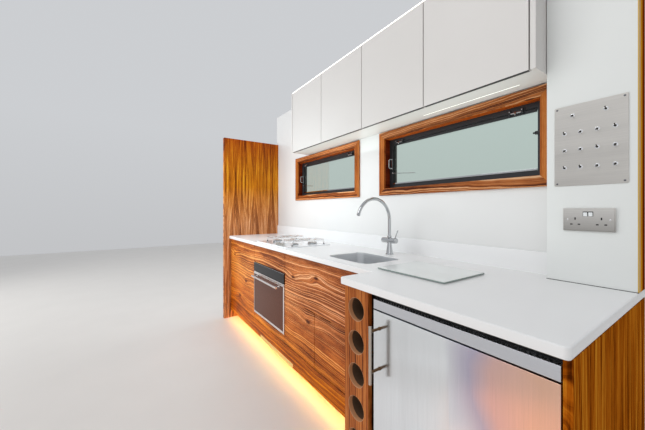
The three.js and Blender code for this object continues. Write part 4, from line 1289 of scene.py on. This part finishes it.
print("shapes in a burner:", sum(len(shapes) for shapes in burner(FRAME_AXES, 42)))
print("shapes in a knob:", len(knob(FRAME_AXES)))

# %% Press the plate and set the burners
hob_x, hob_y, hob_z = spans("hob")
hob_plate = on_face("up", middle(hob_x), middle(hob_y), hob_z[0])
PLATE_LEVEL = 4.6
# The rim from the worktop inwards: how far in, and how high.
PLATE_RIM = ((0, 0), (0, 3), (0.6, 5), (2, 6), (6, 6), (9, 4.8), (14, PLATE_LEVEL))
# Each burner's place from the middle of the plate, and its radius.
BURNER_ROWS = (-52, 106)
BURNERS = ((165, -52, 28), (165, 106, 42), (-165, -52, 42), (-165, 106, 34))
KNOB_OFFSETS = (78, 113, 148, 183)


def fit_hob():
    outline = centred(hob_x), centred(hob_y)
    white = [skin([ring_on(hob_plate, *outline, mm(10), *mm(pull, w)) for pull, w in PLATE_RIM])]
    metal, caps, knobs = [], [], []
    for u, v, radius in BURNERS:
        made = burner(moved(hob_plate, u, v, PLATE_LEVEL), radius)
        for gathered, shapes in zip((white, metal, caps), made):
            gathered.extend(shapes)
    near_edge = on_face("up", middle(hob_x), hob_y[0], hob_z[0])
    for offset in KNOB_OFFSETS:
        knobs += knob(moved(near_edge, offset, 30, PLATE_LEVEL))
    assemble("hob_plate", "root", {"enamel": white}, ["hob"], 50)
    assemble("hob_burners", "root", {"chrome_polished": metal})
    assemble("hob_caps", "root", {"steel_plate": caps})
    return assemble("hob_knobs", "root", {"steel_plate": knobs})


print("hob:", fit_hob(), {name: count for name, count in fittings.items() if name.startswith("hob")})

# %% Weld the pan supports
WIRE, CLEAR = mm(3.6, 24)


def pan_support(side):
    """A loop with a bar across, four fingers to each burner and four legs on rubber feet."""
    name = "pan_support_" + side
    x, y, z = spans(name)
    x, y = inset(x, WIRE), inset(y, WIRE)
    level = z[1] - WIRE
    centre_x, split = middle(x), middle(y)
    loop = [(a, b, level) for a, b in rounded(x, y, mm(14), 6)]
    paths = [[*loop, loop[0]], [(end, split, level) for end in x]]
    centres = [middle(hob_y) + mm(row) for row in BURNER_ROWS]
    for centre in centres:
        for end, reach in zip(x, (-1, 1)):
            tip = (centre_x + reach * mm(20), centre, level - mm(1.5))
            paths.append([(end, centre, level), (centre_x + reach * CLEAR, centre, level), tip])
    stops = [stop for centre in centres for stop in around(centre, CLEAR)]
    for start, stop in zip((y[0], split, split, y[1]), stops):
        paths.append([(centre_x, start, level), (centre_x, stop, level)])
    feet = []
    for a in inset(x, mm(4)):
        for b in inset(y, mm(4)):
            paths.append([(a, b, level), (a, b, z[0] + mm(5))])
            foot = on_face("up", a, b, z[0] - mm(1))
            feet.append(turned(foot, [(4.6, 0), (5, 1), (4.8, 8), (0, 8.5)], 18))
    wires = [rod(path, WIRE, 12) for path in paths]
    assemble("pan_wires_" + side, "root", {"chrome_bright": wires}, [name], 50)
    return assemble("pan_feet_" + side, "root", {"textured_black": feet})


print("pan supports:", pan_support("near"), pan_support("far"))

# %% [markdown]
# ## The glass sink cover and the worktop's seams
# A sheet of white-backed glass lies beside the sink, on four dark studs. Its polished edge shows
# greenish. Where the service column stands on the worktop, a fitter runs a thin dark line of
# sealant, which here is also painted shade for the contact shadow at the column's foot. It is only
# two millimetres wide, but it grounds the column.

# %% Lay the cover on its studs
def glass_cover():
    x, y, z = spans("sink_cover")
    where = on_face("up", 0, 0, z[0])
    band = mm(1.3)
    w = (mm(2.6), z[1] - z[0])
    rim = frame_of(where, x, y, w, mm(6), [band] * 4, mm(0.7))
    sheet = plate(where, inset(x, band), inset(y, band), w, mm(4.4), mm(0.1))
    shapes = {"frosted_cover": [sheet], "glass_edge": [rim]}
    assemble("sink_cover_glass", "root", shapes, ["sink_cover"], 60)
    studs = []
    for a in inset(x, mm(22)):
        for b in inset(y, mm(22)):
            studs.append(turned(on_face("up", a, b, z[0]), [(7, 0), (7.4, 0.8), (7, 2.55), (0, 2.55)], 20))
    return assemble("sink_cover_studs", "root", {"textured_black": studs})


def sealant():
    x, y, _ = spans("service_column")
    # A near-black bead: sealant, and painted shade where the column meets the worktop.
    bead = mm(2.2)
    left, front, level = x[0] - bead / 2, y[0] - bead / 2, worktop_top + bead * 0.3
    path = [(left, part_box("cabin_side")[0].y, level), (left, front, level), (x[1] - mm(1), front, level)]
    return assemble("sealant_and_contact_shadow", "root", {"textured_black": [rod(path, bead / 2, 10)]})


print("cover and sealant:", glass_cover(), sealant())

# %% [markdown]
# ## The oven
# A built-in oven has a glass panel over a drop-down door. The door is black glass in a thin steel
# surround, slimmest at the left and widest along the top, which carries a round bar handle. The
# frame's solid is one dark block, so it is replaced by a steel surround, a pane set a millimetre
# back, an inner glass and a seal. Inside, wire racks and side rails show when the door is down.

# %% Build the oven door
OVEN_BARS = mm(5, 15, 17, 22)


def oven_door():
    x, y, z = spans("oven_door")
    where = on_face("front", 0, y[1], 0)
    thickness = y[1] - y[0]
    left, right, bottom, top = OVEN_BARS
    surround = frame_of(where, x, z, (mm(6), thickness), mm(1.6), OVEN_BARS)
    backing = frame_of(where, inset(x, mm(2)), inset(z, mm(2)), mm(1, 6), mm(2), mm(52, 52, 40, 40))
    shapes = {"steel_bar": [surround], "steel_inside": [backing]}
    assemble("oven_door_surround", "oven_door", shapes, ["oven_door"])
    opening = (x[0] + left, x[1] - right), (z[0] + bottom, z[1] - top)
    pane = plate(where, *opening, (mm(7), thickness - mm(1)), mm(1), mm(0.5))
    inner = plate(where, inset(x, mm(56)), inset(z, mm(44)), mm(1, 5), mm(4), mm(0.5))
    # Both panes mirror in orange, a painted warm reflection.
    assemble("oven_door_glass", "oven_door", {"dark_pane_warm_reflection": [pane, inner]})
    back = on_face("back", 0, y[1] - mm(1), 0)
    field = inset(mirrored(x), mm(24)), (z[0] + mm(16), z[1] - mm(14))
    seal = frame_of(back, *field, mm(0, 1.1), mm(8), [mm(7)] * 4, mm(0.4))
    return assemble("oven_door_seal", "oven_door", {"textured_black": [seal]})


print("oven door:", oven_door())

# %% Turn a bar handle
def bar_handle(name, body, node, along, radius, posts, post_radius, finish):
    """A round bar with eased ends on turned posts, along X or Z, with radii in millimetres."""
    box = spans(node)
    wall = box[Y][1]
    out = box[Y][0] + mm(radius)

    def at(place, depth):
        point = Vector((middle(box[X]), depth, middle(box[Z])))
        point[along] = place
        return point

    start, end = box[along]
    path = [at(start + step, out) for step in mm(0, 0.36, 1.2)]
    path += [at(end - step, out) for step in mm(1.2, 0.36, 0)]
    eased = [radius - step for step in (1.2, 0.36, 0)]
    bar = rod(path, mm(*eased, *eased[::-1]), 28)
    height = (wall - out) * 1000
    post = [(0, 0), (post_radius + 1.6, 0), (post_radius + 1.8, 1.2), (post_radius, 3),
            (post_radius, height - 4), (post_radius + 0.8, height), (0, height)]
    shapes = [bar] + [turned(on_face("front", *at(spot, wall)), post, 24) for spot in posts]
    return assemble(name, body, {finish: shapes}, [node])


oven_posts = inset(spans("oven_handle")[X], mm(30))
print("oven handle:", bar_handle("oven_bar", "oven_door", "oven_handle", X, 8, oven_posts, 6, "steel_bar"))

# %% Racks and fan of the oven
OVEN_WALL = mm(20)


def oven_inside():
    body_x, body_y, body_z = spans("oven_body")
    back_wall = body_y[1] - OVEN_WALL
    x = inset(body_x, OVEN_WALL)
    y = (body_y[0] + mm(6), back_wall - mm(6))
    floor = body_z[0] + mm(35)
    wires = []
    for level in (floor + mm(70), floor + mm(165)):
        for a in inset(x, mm(5)):
            wires.append(rod([(a, b, level) for b in y], mm(3), 10))
            wires.append(rod([(a, b, level - mm(11)) for b in y], mm(2), 8))
            for b in inset(y, mm(20)):
                wires.append(rod([(a, b, floor + mm(30)), (a, b, floor + mm(230))], mm(2), 8))
    rack_x, rack_y, rack_level = inset(x, mm(9)), inset(y, mm(10)), floor + mm(76)
    for b in rack_y:
        wires.append(rod([(a, b, rack_level) for a in rack_x], mm(3), 10))
    for a in spread(rack_x, 18):
        wires.append(rod([(a, b, rack_level + mm(2)) for b in rack_y], mm(1.6), 8))
    fan_place = on_face("front", middle(x), back_wall, floor + mm(150))
    fan = turned(fan_place, [(95, 0), (95, 3), (88, 6), (20, 7), (0, 7)])
    return assemble("oven_racks", "root", {"chrome_polished": wires, "steel_inside": [fan]})


print("oven racks:", oven_inside())


# %% Control panel of the oven
def oven_panel():
    """The control glass with a thin steel strip along its top and the frame of a dark display."""
    x, y, z = spans("oven_control_panel")
    where = on_face("front", 0, y[1], 0)
    depth = y[1] - y[0]
    glass = plate(where, x, (z[0], z[1] - mm(2.4)), (0, depth), mm(1), mm(0.8))
    assemble("oven_panel_glass", "root", {"panel_glass": [glass]}, ["oven_control_panel"])
    trim = plate(where, x, (z[1] - mm(2.2), z[1]), (0, depth), mm(0.6), mm(0.4))
    assemble("oven_panel_trim", "root", {"steel_strip": [trim]})
    field = around(middle(x), mm(52)), (z[0] + mm(24), z[0] + mm(50)), (depth - mm(0.3), depth - mm(0.02))
    display = frame_of(where, *field, mm(3), [mm(0.8)] * 4, mm(0.1))
    return assemble("oven_display", "root", {"textured_black": [display]})


print("oven panel:", oven_panel())

# %% [markdown]
# ## The fridge
# The undercounter fridge has a brushed steel door with eased edges under a separate strip. Its
# handle is a slim upright bar at the edge that opens. When the door is open, a dark seal, a white
# moulded liner with three bins and three glass shelves come into view, so all of these are modelled
# too, riding the door or standing in the cabinet.

# %% Dress the fridge door inside and out
FRIDGE_WALL, FRIDGE_FLOOR, FRIDGE_ROOF = mm(35, 120, 783)
BIN_DEPTH = mm(82)
BINS = (mm(150, 96), mm(400, 66), mm(600, 58))


def fridge_door_inside():
    """The seal round the door's edge, its moulded liner and three bins with a rail each."""
    x, y, z = spans("fridge_door")
    back = on_face("back", 0, y[1], 0)
    u = mirrored(x)
    field = inset(u, mm(8)), (z[0] + mm(30), z[1] - mm(8))
    seal = frame_of(back, *field, mm(-2, 0.15), mm(10), [mm(14)] * 4, mm(0.1))
    assemble("fridge_seal", "fridge_door", {"textured_black": [seal]})
    across = (u[0] + mm(55), u[1] - mm(59))
    white = [plate(back, across, (FRIDGE_FLOOR + mm(14), FRIDGE_ROOF - mm(12)), mm(0, 9), mm(22), mm(5))]
    clear, rails = [], []
    span, depth = inset(across, mm(6)), (mm(8), BIN_DEPTH)
    for floor, height in BINS:
        upright = (floor, floor + height)
        white.append(block(back, span, (floor, floor + mm(4)), depth, mm(1)))
        clear.append(block(back, span, upright, (BIN_DEPTH - mm(4), BIN_DEPTH), mm(1.5)))
        for side in ((span[0], span[0] + mm(4)), (span[1] - mm(4), span[1])):
            white.append(block(back, side, upright, depth, mm(1.2)))
        rails.append(rod([back @ Vector((end, upright[1], BIN_DEPTH - mm(2))) for end in span], mm(3), 12))
    shapes = {"moulded_white": white, "shelf_glass": clear, "steel_bar": rails}
    return assemble("fridge_bins", "fridge_door", shapes)


fridge_posts = mm(601, 747)
fridge_bar = bar_handle("fridge_bar", "fridge_door", "fridge_handle", Z, 6, fridge_posts, 5, "steel_grip")
print("fridge door:", fridge_bar, fridge_door_inside())

# %% Shelves and the drawer for vegetables
def fridge_shelves():
    """Three glass shelves in white trims, a light at the top and a drawer for vegetables."""
    cabinet_x, cabinet_y, _ = spans("fridge_cabinet")
    x = inset(cabinet_x, FRIDGE_WALL + mm(1))
    y = (cabinet_y[0] + mm(108), cabinet_y[1] - FRIDGE_WALL - mm(4))
    glass, trims = [], []
    for level in mm(330, 480, 630):
        glass.append(plate(FRAME_AXES, x, y, (level, level + mm(4)), mm(4), mm(1)))
        trim = x, (y[0] - mm(3), y[0] + mm(6)), (level - mm(6), level + mm(7))
        trims.append(block(FRAME_AXES, *trim, mm(1.5)))
    assemble("fridge_glass", "root", {"shelf_glass": glass})
    front = on_face("front", 0, y[0] + mm(8), 0)
    drawer = inset(x, mm(6))
    trims.append(plate(front, drawer, (FRIDGE_FLOOR + mm(6), mm(316)), mm(0, 6), mm(12), mm(2)))
    trims.append(block(front, around(middle(drawer), mm(70)), mm(286, 300), mm(6, 16), mm(3), 3))
    light = (x[1] - mm(70), x[1] - mm(10)), (y[0] - mm(60), y[0] + mm(30))
    trims.append(block(FRAME_AXES, *light, (FRIDGE_ROOF - mm(14), FRIDGE_ROOF - mm(0.3)), mm(3)))
    return assemble("fridge_trims", "root", {"moulded_white": trims})


print("fridge shelves:", fridge_shelves())

# %% [markdown]
# ## Rack rings, the vent over the fridge and the shade strips under the doors
# The wine rack is a board with five round holes, and each hole's edge is lined with a thin turned
# sleeve. Over the fridge's strip a dark grille lets warm air out, with a row of upright slots. The
# wall doors have no knobs, and a dark strip under each one is painted shade where the door meets the
# cupboard's underside. All three could be painted on, but a real step and real slots catch the light.

# %% Rings in the wine rack
RACK_PITCH, RACK_TOP = mm(133, 780)
RING_OUTSIDE, RING_INSIDE = 47.4, 46.2


def rack_rings():
    """A thin sleeve of pale walnut lines each hole's edge, where the veneer was turned in."""
    x, y, _ = spans("wine_rack_front")
    depth = (y[1] - y[0]) * 1000
    profile = [(RING_INSIDE, 0.3), (RING_INSIDE, depth - 0.6), (RING_INSIDE + 0.6, depth),
               (RING_OUTSIDE, depth - 0.1), (RING_OUTSIDE, 0.3)]
    holes = [on_face("front", middle(x), y[1], RACK_TOP - i * RACK_PITCH) for i in range(5)]
    sleeves = [turned(hole, profile, 56, "joined") for hole in holes]
    return assemble("rack_rings", "root", {"pale_edge": sleeves})


print("rack rings:", rack_rings())

# %% Vent over the fridge, shade strips under the wall doors
SLOT_COUNT = 46


def fridge_vent():
    x, y, z = spans("fridge_control_strip")
    field = inset(x, mm(2)), (z[1] + mm(0.5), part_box("worktop")[0].z - mm(0.5))
    edges = spread(inset(field[0], mm(4)), SLOT_COUNT)
    tall = inset(field[1], mm(4))
    slots = [(inset((start, end), (end - start) * 0.2), tall) for start, end in zip(edges, edges[1:])]
    grid = pierced(on_face("front", 0, y[0] + mm(30), 0), *field, mm(0, 3), slots)
    return assemble("fridge_vent", "root", {"textured_black": [grid]})


def door_shade_strip(name):
    """A dark strip at the foot of a door: painted shade where the door meets the cupboard's underside."""
    x, y, z = spans(name)
    bar = block(FRAME_AXES, inset(x, mm(1)), inset(y, mm(0.6)), (z[0] - mm(0.3), z[0] + mm(1.2)), mm(0.2), 1)
    return assemble("grip_" + name, name, {"powder_black": [bar]})


print("fridge vent:", fridge_vent(), "grips:", [door_shade_strip(f"wall_door_{i}") for i in range(1, 5)])

# %% [markdown]
# ## Hinges, screws and the weld
# Behind each cupboard door sit sprung cup hinges: a cup let into the door, with a flange screwed over
# and under it, and an arm on the carcass beside it. They only show when a door stands open, but then
# they are what tells a cupboard from a box. The cup rides its door and the arm stays behind. The
# heater's grille has its screws and the drawer a ribbed mat, and outside a welder has joined two
# plates of the skin with a bead, whose ripples are rings of changing radius.

# %% The cup and the arm of a hinge
CUP_RIM = ((17.5, 0), (17.5, 1.6), (16.7, 2.2), (15.5, 2.0), (15.1, 0.3), (0, 0.3))
# The arm's plate, its channel and the tongue at its end: out from the board, back, half height, edge.
ARM_BLOCKS = (((0, 2.4), (34, 58), 27, 0.8), ((2, 13), (9, 82), 6, 2), ((4, 17), (9, 21), 4, 1))
# Its screws: out from the board, back, up, radius and height.
ARM_SCREWS = ((2.4, 46, -20, 3.4, 1.2), (2.4, 46, 20, 3.4, 1.2), (13, 66, 0, 3, 1))


def hinge_cup(where, side):
    """Flange, cup and the knuckle that the arm would hold, on the back of a door."""
    flange = plate(where, mm(-8, 8), mm(-31, 31), mm(0, 1.4), mm(6), mm(0.5))
    knuckle = block(where, mm(side * -12, side * 2), mm(-6, 6), mm(0.5, 4.5), mm(1))
    heads = [screw_head(moved(where, 0, v, 1.4), 3.4, 1.2) for v in (-24, 24)]
    return [flange, turned(where, CUP_RIM, 36), knuckle, *heads]


def hinge_arm(x, y, z, side):
    """The mounting plate and the arm on the carcass, a little behind the door."""
    foot = on_face("up", x, y, z)
    face = "near" if side > 0 else "far"
    shapes = []
    for (start, end), back, half, edge in ARM_BLOCKS:
        shapes.append(block(foot, mm(side * start, side * end), mm(*back), mm(-half, half), mm(edge)))
    for out, back, up, radius, height in ARM_SCREWS:
        spot = on_face(face, x + side * mm(out), y + mm(back), z + mm(up))
        shapes.append(screw_head(spot, radius, height))
    return shapes


print("shapes in a hinge:", len(hinge_cup(FRAME_AXES, 1)) + len(hinge_arm(0, 0, 0, 1)))

# %% Fit the cup hinges
CUP_OFFSET, HINGE_ENDS = mm(22, 66)
# Each door with its pin's X, the board its arms are screwed to and the way it reaches from there.
HINGED = (
    ("base_door_near", 628, 624, -1), ("base_door_far", -159, -154.5, 1),
    ("far_cupboard_door", -1469, -1458, 1), ("wall_door_1", 1229, 1236, -1),
    ("wall_door_2", 249.5, 255, 1), ("wall_door_3", 240.5, 235, -1), ("wall_door_4", -739, -746, 1),
)


def fit_hinges():
    arms = []
    for door, pin_x, wall_x, side in HINGED:
        _, y, z = spans(door)
        cups = []
        for height in inset(z, HINGE_ENDS):
            cups += hinge_cup(on_face("back", mm(pin_x) + side * CUP_OFFSET, y[1], height), side)
            arms += hinge_arm(mm(wall_x), y[1], height, side)
        assemble("hinge_cups_" + door, door, {"steel_bar": cups})
    return assemble("hinge_arms", "root", {"steel_bar": arms})


print("hinges:", 2 * len(HINGED), "with arms of", fittings[fit_hinges()], "faces")

# %% Grille screws, drawer mat and weld
DRAWER_WALL, DRAWER_FLOOR, WELD_X, SKIN_FACE, RIPPLE = mm(28, 12, 117.5, 442, 5)
MAT_RIBS = 40


def grille_screws():
    x, y, z = spans("heater_grille")
    heads = [screw_head(on_face("front", a, y[0], middle(z)), 2.6, 1) for a in inset(x, mm(7))]
    return assemble("grille_screws", "root", {"chrome_polished": heads})


def drawer_mat():
    """A ribbed rubber mat on the floor of the drawer keeps pans from sliding."""
    box_x, box_y, box_z = spans("pan_drawer_box")
    where = on_face("up", 0, 0, box_z[0] + DRAWER_FLOOR)
    x, y = inset(box_x, DRAWER_WALL + mm(3)), inset(box_y, mm(18))
    shapes = [plate(where, x, y, mm(0, 1.2), mm(4), mm(0.4))]
    for rib in spread(x, MAT_RIBS)[1:-1]:
        shapes.append(block(where, around(rib, mm(1.5)), inset(y, mm(4)), mm(1, 2), mm(0.4), 1))
    return assemble("drawer_mat", "pan_drawer", {"textured_black": shapes})


def weld():
    """A rippled bead between two plates of the skin, above and below the belt rail."""
    beads = []
    for height in (mm(4, 1097), mm(1153, 2310)):
        levels = spread(height, int((height[1] - height[0]) / RIPPLE))
        radii = [mm(3.4 if i % 2 else 2.7) for i in range(len(levels))]
        beads.append(rod([(WELD_X, SKIN_FACE, level) for level in levels], radii, 10))
    return assemble("weld_bead", "root", {"hull_paint": beads}, crease=80)


print("small parts:", grille_screws(), drawer_mat(), weld())

# %% [markdown]
# ## Light strips
# Three glowing strips light the galley: a warm one hidden behind the bottom band that washes the
# floor, a half-metre line in a groove under the wall cupboards, over the near window, and a thin
# bright line over their doors. Each is a bar of diffuser that glows, so the light in the picture
# really comes from the object.

# %% Fit the light strips
GROOVE_Y = mm(286)
band_x, band_y, band_z = spans("bottom_band")
cupboard_x, cupboard_y, cupboard_z = spans("wall_cupboard")


def light_strip(name, finish, x, y, z):
    """A diffuser between two values along each axis."""
    return assemble(name, "root", {finish: [block(FRAME_AXES, x, y, z, mm(0.6))]})


floor_strip = light_strip("light_floor", "warm_light", inset(band_x, mm(6)),
                          (band_y[1] + mm(0.5), band_y[1] + mm(9)), (band_z[0] + mm(2), band_z[0] + mm(12)))
under_strip = light_strip("light_under", "under_light", (cupboard_x[1] - mm(606), cupboard_x[1] - mm(104)),
                          around(GROOVE_Y, mm(1.6)), (cupboard_z[0] - mm(0.8), cupboard_z[0] + mm(1)))
top_strip = light_strip("light_top", "door_light", inset(cupboard_x, mm(21)),
                        (cupboard_y[0] + mm(0.5), cupboard_y[0] + mm(5)),
                        (cupboard_z[1] - mm(4.4), cupboard_z[1] - mm(0.4)))
print("strips:", floor_strip, under_strip, top_strip)

# %% [markdown]
# ## Light, floor and the last lines
# The studio is plain: a pale floor, a pale sky and three soft lights. The first stands in front of
# the run and over it. A second fills from the camera's side, and a third lights the outside for
# views from behind. Eight more fill like pale cards: five that metal doesn't mirror, two on the floor
# that the fridge door mirrors as its cool and warm sides, and a faint one over the bowl.

# %% Light the galley
# Each light's name, place, target, width and depth, power and, where it isn't white, colour.
STUDIO_LIGHTS = (
    ("main_light", (0.2, -3.0, 4.2), (0.0, 0.1, 0.7), (3.0, 2.0), 40.0),
    ("room_fill", (2.9, -2.6, 1.3), (0.2, 0.0, 0.7), (1.8, 1.8), 7.0, (1.0, 0.985, 0.96)),
    ("outside_light", (-1.0, 3.6, 4.4), (0.0, 0.4, 1.0), (3.0, 2.0), 90.0),
)
CARDS = (
    ("stern_card", (-3.6, -4.2, 2.6), (-0.7, 0.1, 0.8), (2.6, 2.2), 60.0, (1.0, 0.99, 0.97)),
    ("hob_card", (-0.75, -0.75, 1.55), (-0.85, 0.25, 0.95), (1.3, 0.35), 7.2, (0.88, 1.0, 1.06)),
    ("floor_card", (-0.5, -1.2, 0.02), (-0.5, -1.2, 1.0), (2.4, 1.0), 9.0, (1.0, 0.95, 0.89)),
    ("worktop_card", (0.1, -0.1, 0.96), (0.1, -0.1, 2.0), (2.3, 0.25), 3.0, (0.97, 1.0, 0.96)),
    ("under_card", (0.25, 0.24, 1.62), (0.25, 0.24, 2.0), (1.96, 0.2), 0.95, (0.84, 1.0, 0.98)),
)
# The two that lie on the floor, facing up, are turned about Z by an angle in degrees.
MIRRORED_CARDS = (
    ("warm_card", (1.19, -0.98, 0.02), (1.19, -0.98, 1.0), (0.6, 1.4), 0.9, (1.0, 0.45, 0.24), -26.3),
    ("cool_card", (0.62, -1.0, 0.02), (0.62, -1.0, 1.0), (0.62, 1.4), 0.38, (0.96, 0.98, 1.0), -33.0),
    ("bowl_light", (0.439, -0.0015, 0.898), (0.439, -0.0015, 0.0), (0.34, 0.275), 0.12),
)


def soft_light(name, place, target, size, power, color=NO_TINT, turn=None):
    light_data = bpy.data.lights.new(name, "AREA")
    light_data.shape = "RECTANGLE"
    light_data.size, light_data.size_y = size
    light_data.energy = power
    light_data.color = color
    light = bpy.data.objects.new(name, light_data)
    light.location = place
    light.rotation_euler = (Vector(target) - Vector(place)).to_track_quat("-Z", "Y").to_euler()
    if turn:
        light.rotation_euler = (math.pi, 0, math.radians(turn))
    light.visible_camera = False
    light.visible_transmission = False
    bpy.context.scene.collection.objects.link(light)
    return light


for light_values in STUDIO_LIGHTS:
    soft_light(*light_values)
for light_values in CARDS:
    soft_light(*light_values).visible_glossy = False
for light_values in MIRRORED_CARDS:
    soft_light(*light_values)

# %% Hang a pale sky
def pale_sky():
    """Pale overhead and a little darker towards the ground, so that metal has something to mirror."""
    sky = bpy.data.worlds.new("pale_sky")
    sky.use_nodes = True
    tree = sky.node_tree
    kinds = ("TexCoord", "SeparateXYZ", "Math", "ValToRGB")
    heading, height, raised, shades = [tree.nodes.new("ShaderNode" + kind) for kind in kinds]
    raised.operation = "MULTIPLY_ADD"
    raised.inputs[1].default_value = 0.5
    raised.inputs[2].default_value = 0.5
    low, high = shades.color_ramp.elements
    low.position, low.color = 0.42, (0.74, 0.75, 0.77, 1.0)
    high.position, high.color = 0.62, (0.84, 0.86, 0.89, 1.0)
    background = tree.nodes["Background"]
    background.inputs["Strength"].default_value = 0.72
    tree.links.new(heading.outputs["Generated"], height.inputs[0])
    tree.links.new(height.outputs["Z"], raised.inputs[0])
    tree.links.new(raised.outputs[0], shades.inputs[0])
    tree.links.new(shades.outputs[0], background.inputs["Color"])
    return sky


scene = bpy.context.scene
scene.world = pale_sky()
scene.view_settings.view_transform = "Standard"
print("sky:", scene.world.name)

# %% Lay the floor
FLOOR_HALF = 9.0


def pale_floor():
    material = paint("pale_floor", srgb(222, 219, 215), (0.42, 0.52), peel_scale=60.0)
    mesh = bpy.data.meshes.new("studio_floor")
    signs = ((-1, -1), (1, -1), (1, 1), (-1, 1))
    mesh.from_pydata([(FLOOR_HALF * a, FLOOR_HALF * b, 0) for a, b in signs], [], [(0, 1, 2, 3)])
    mesh.materials.append(material)
    floor = bpy.data.objects.new("studio_floor", mesh)
    scene.collection.objects.link(floor)
    return floor.name


print("floor:", pale_floor())
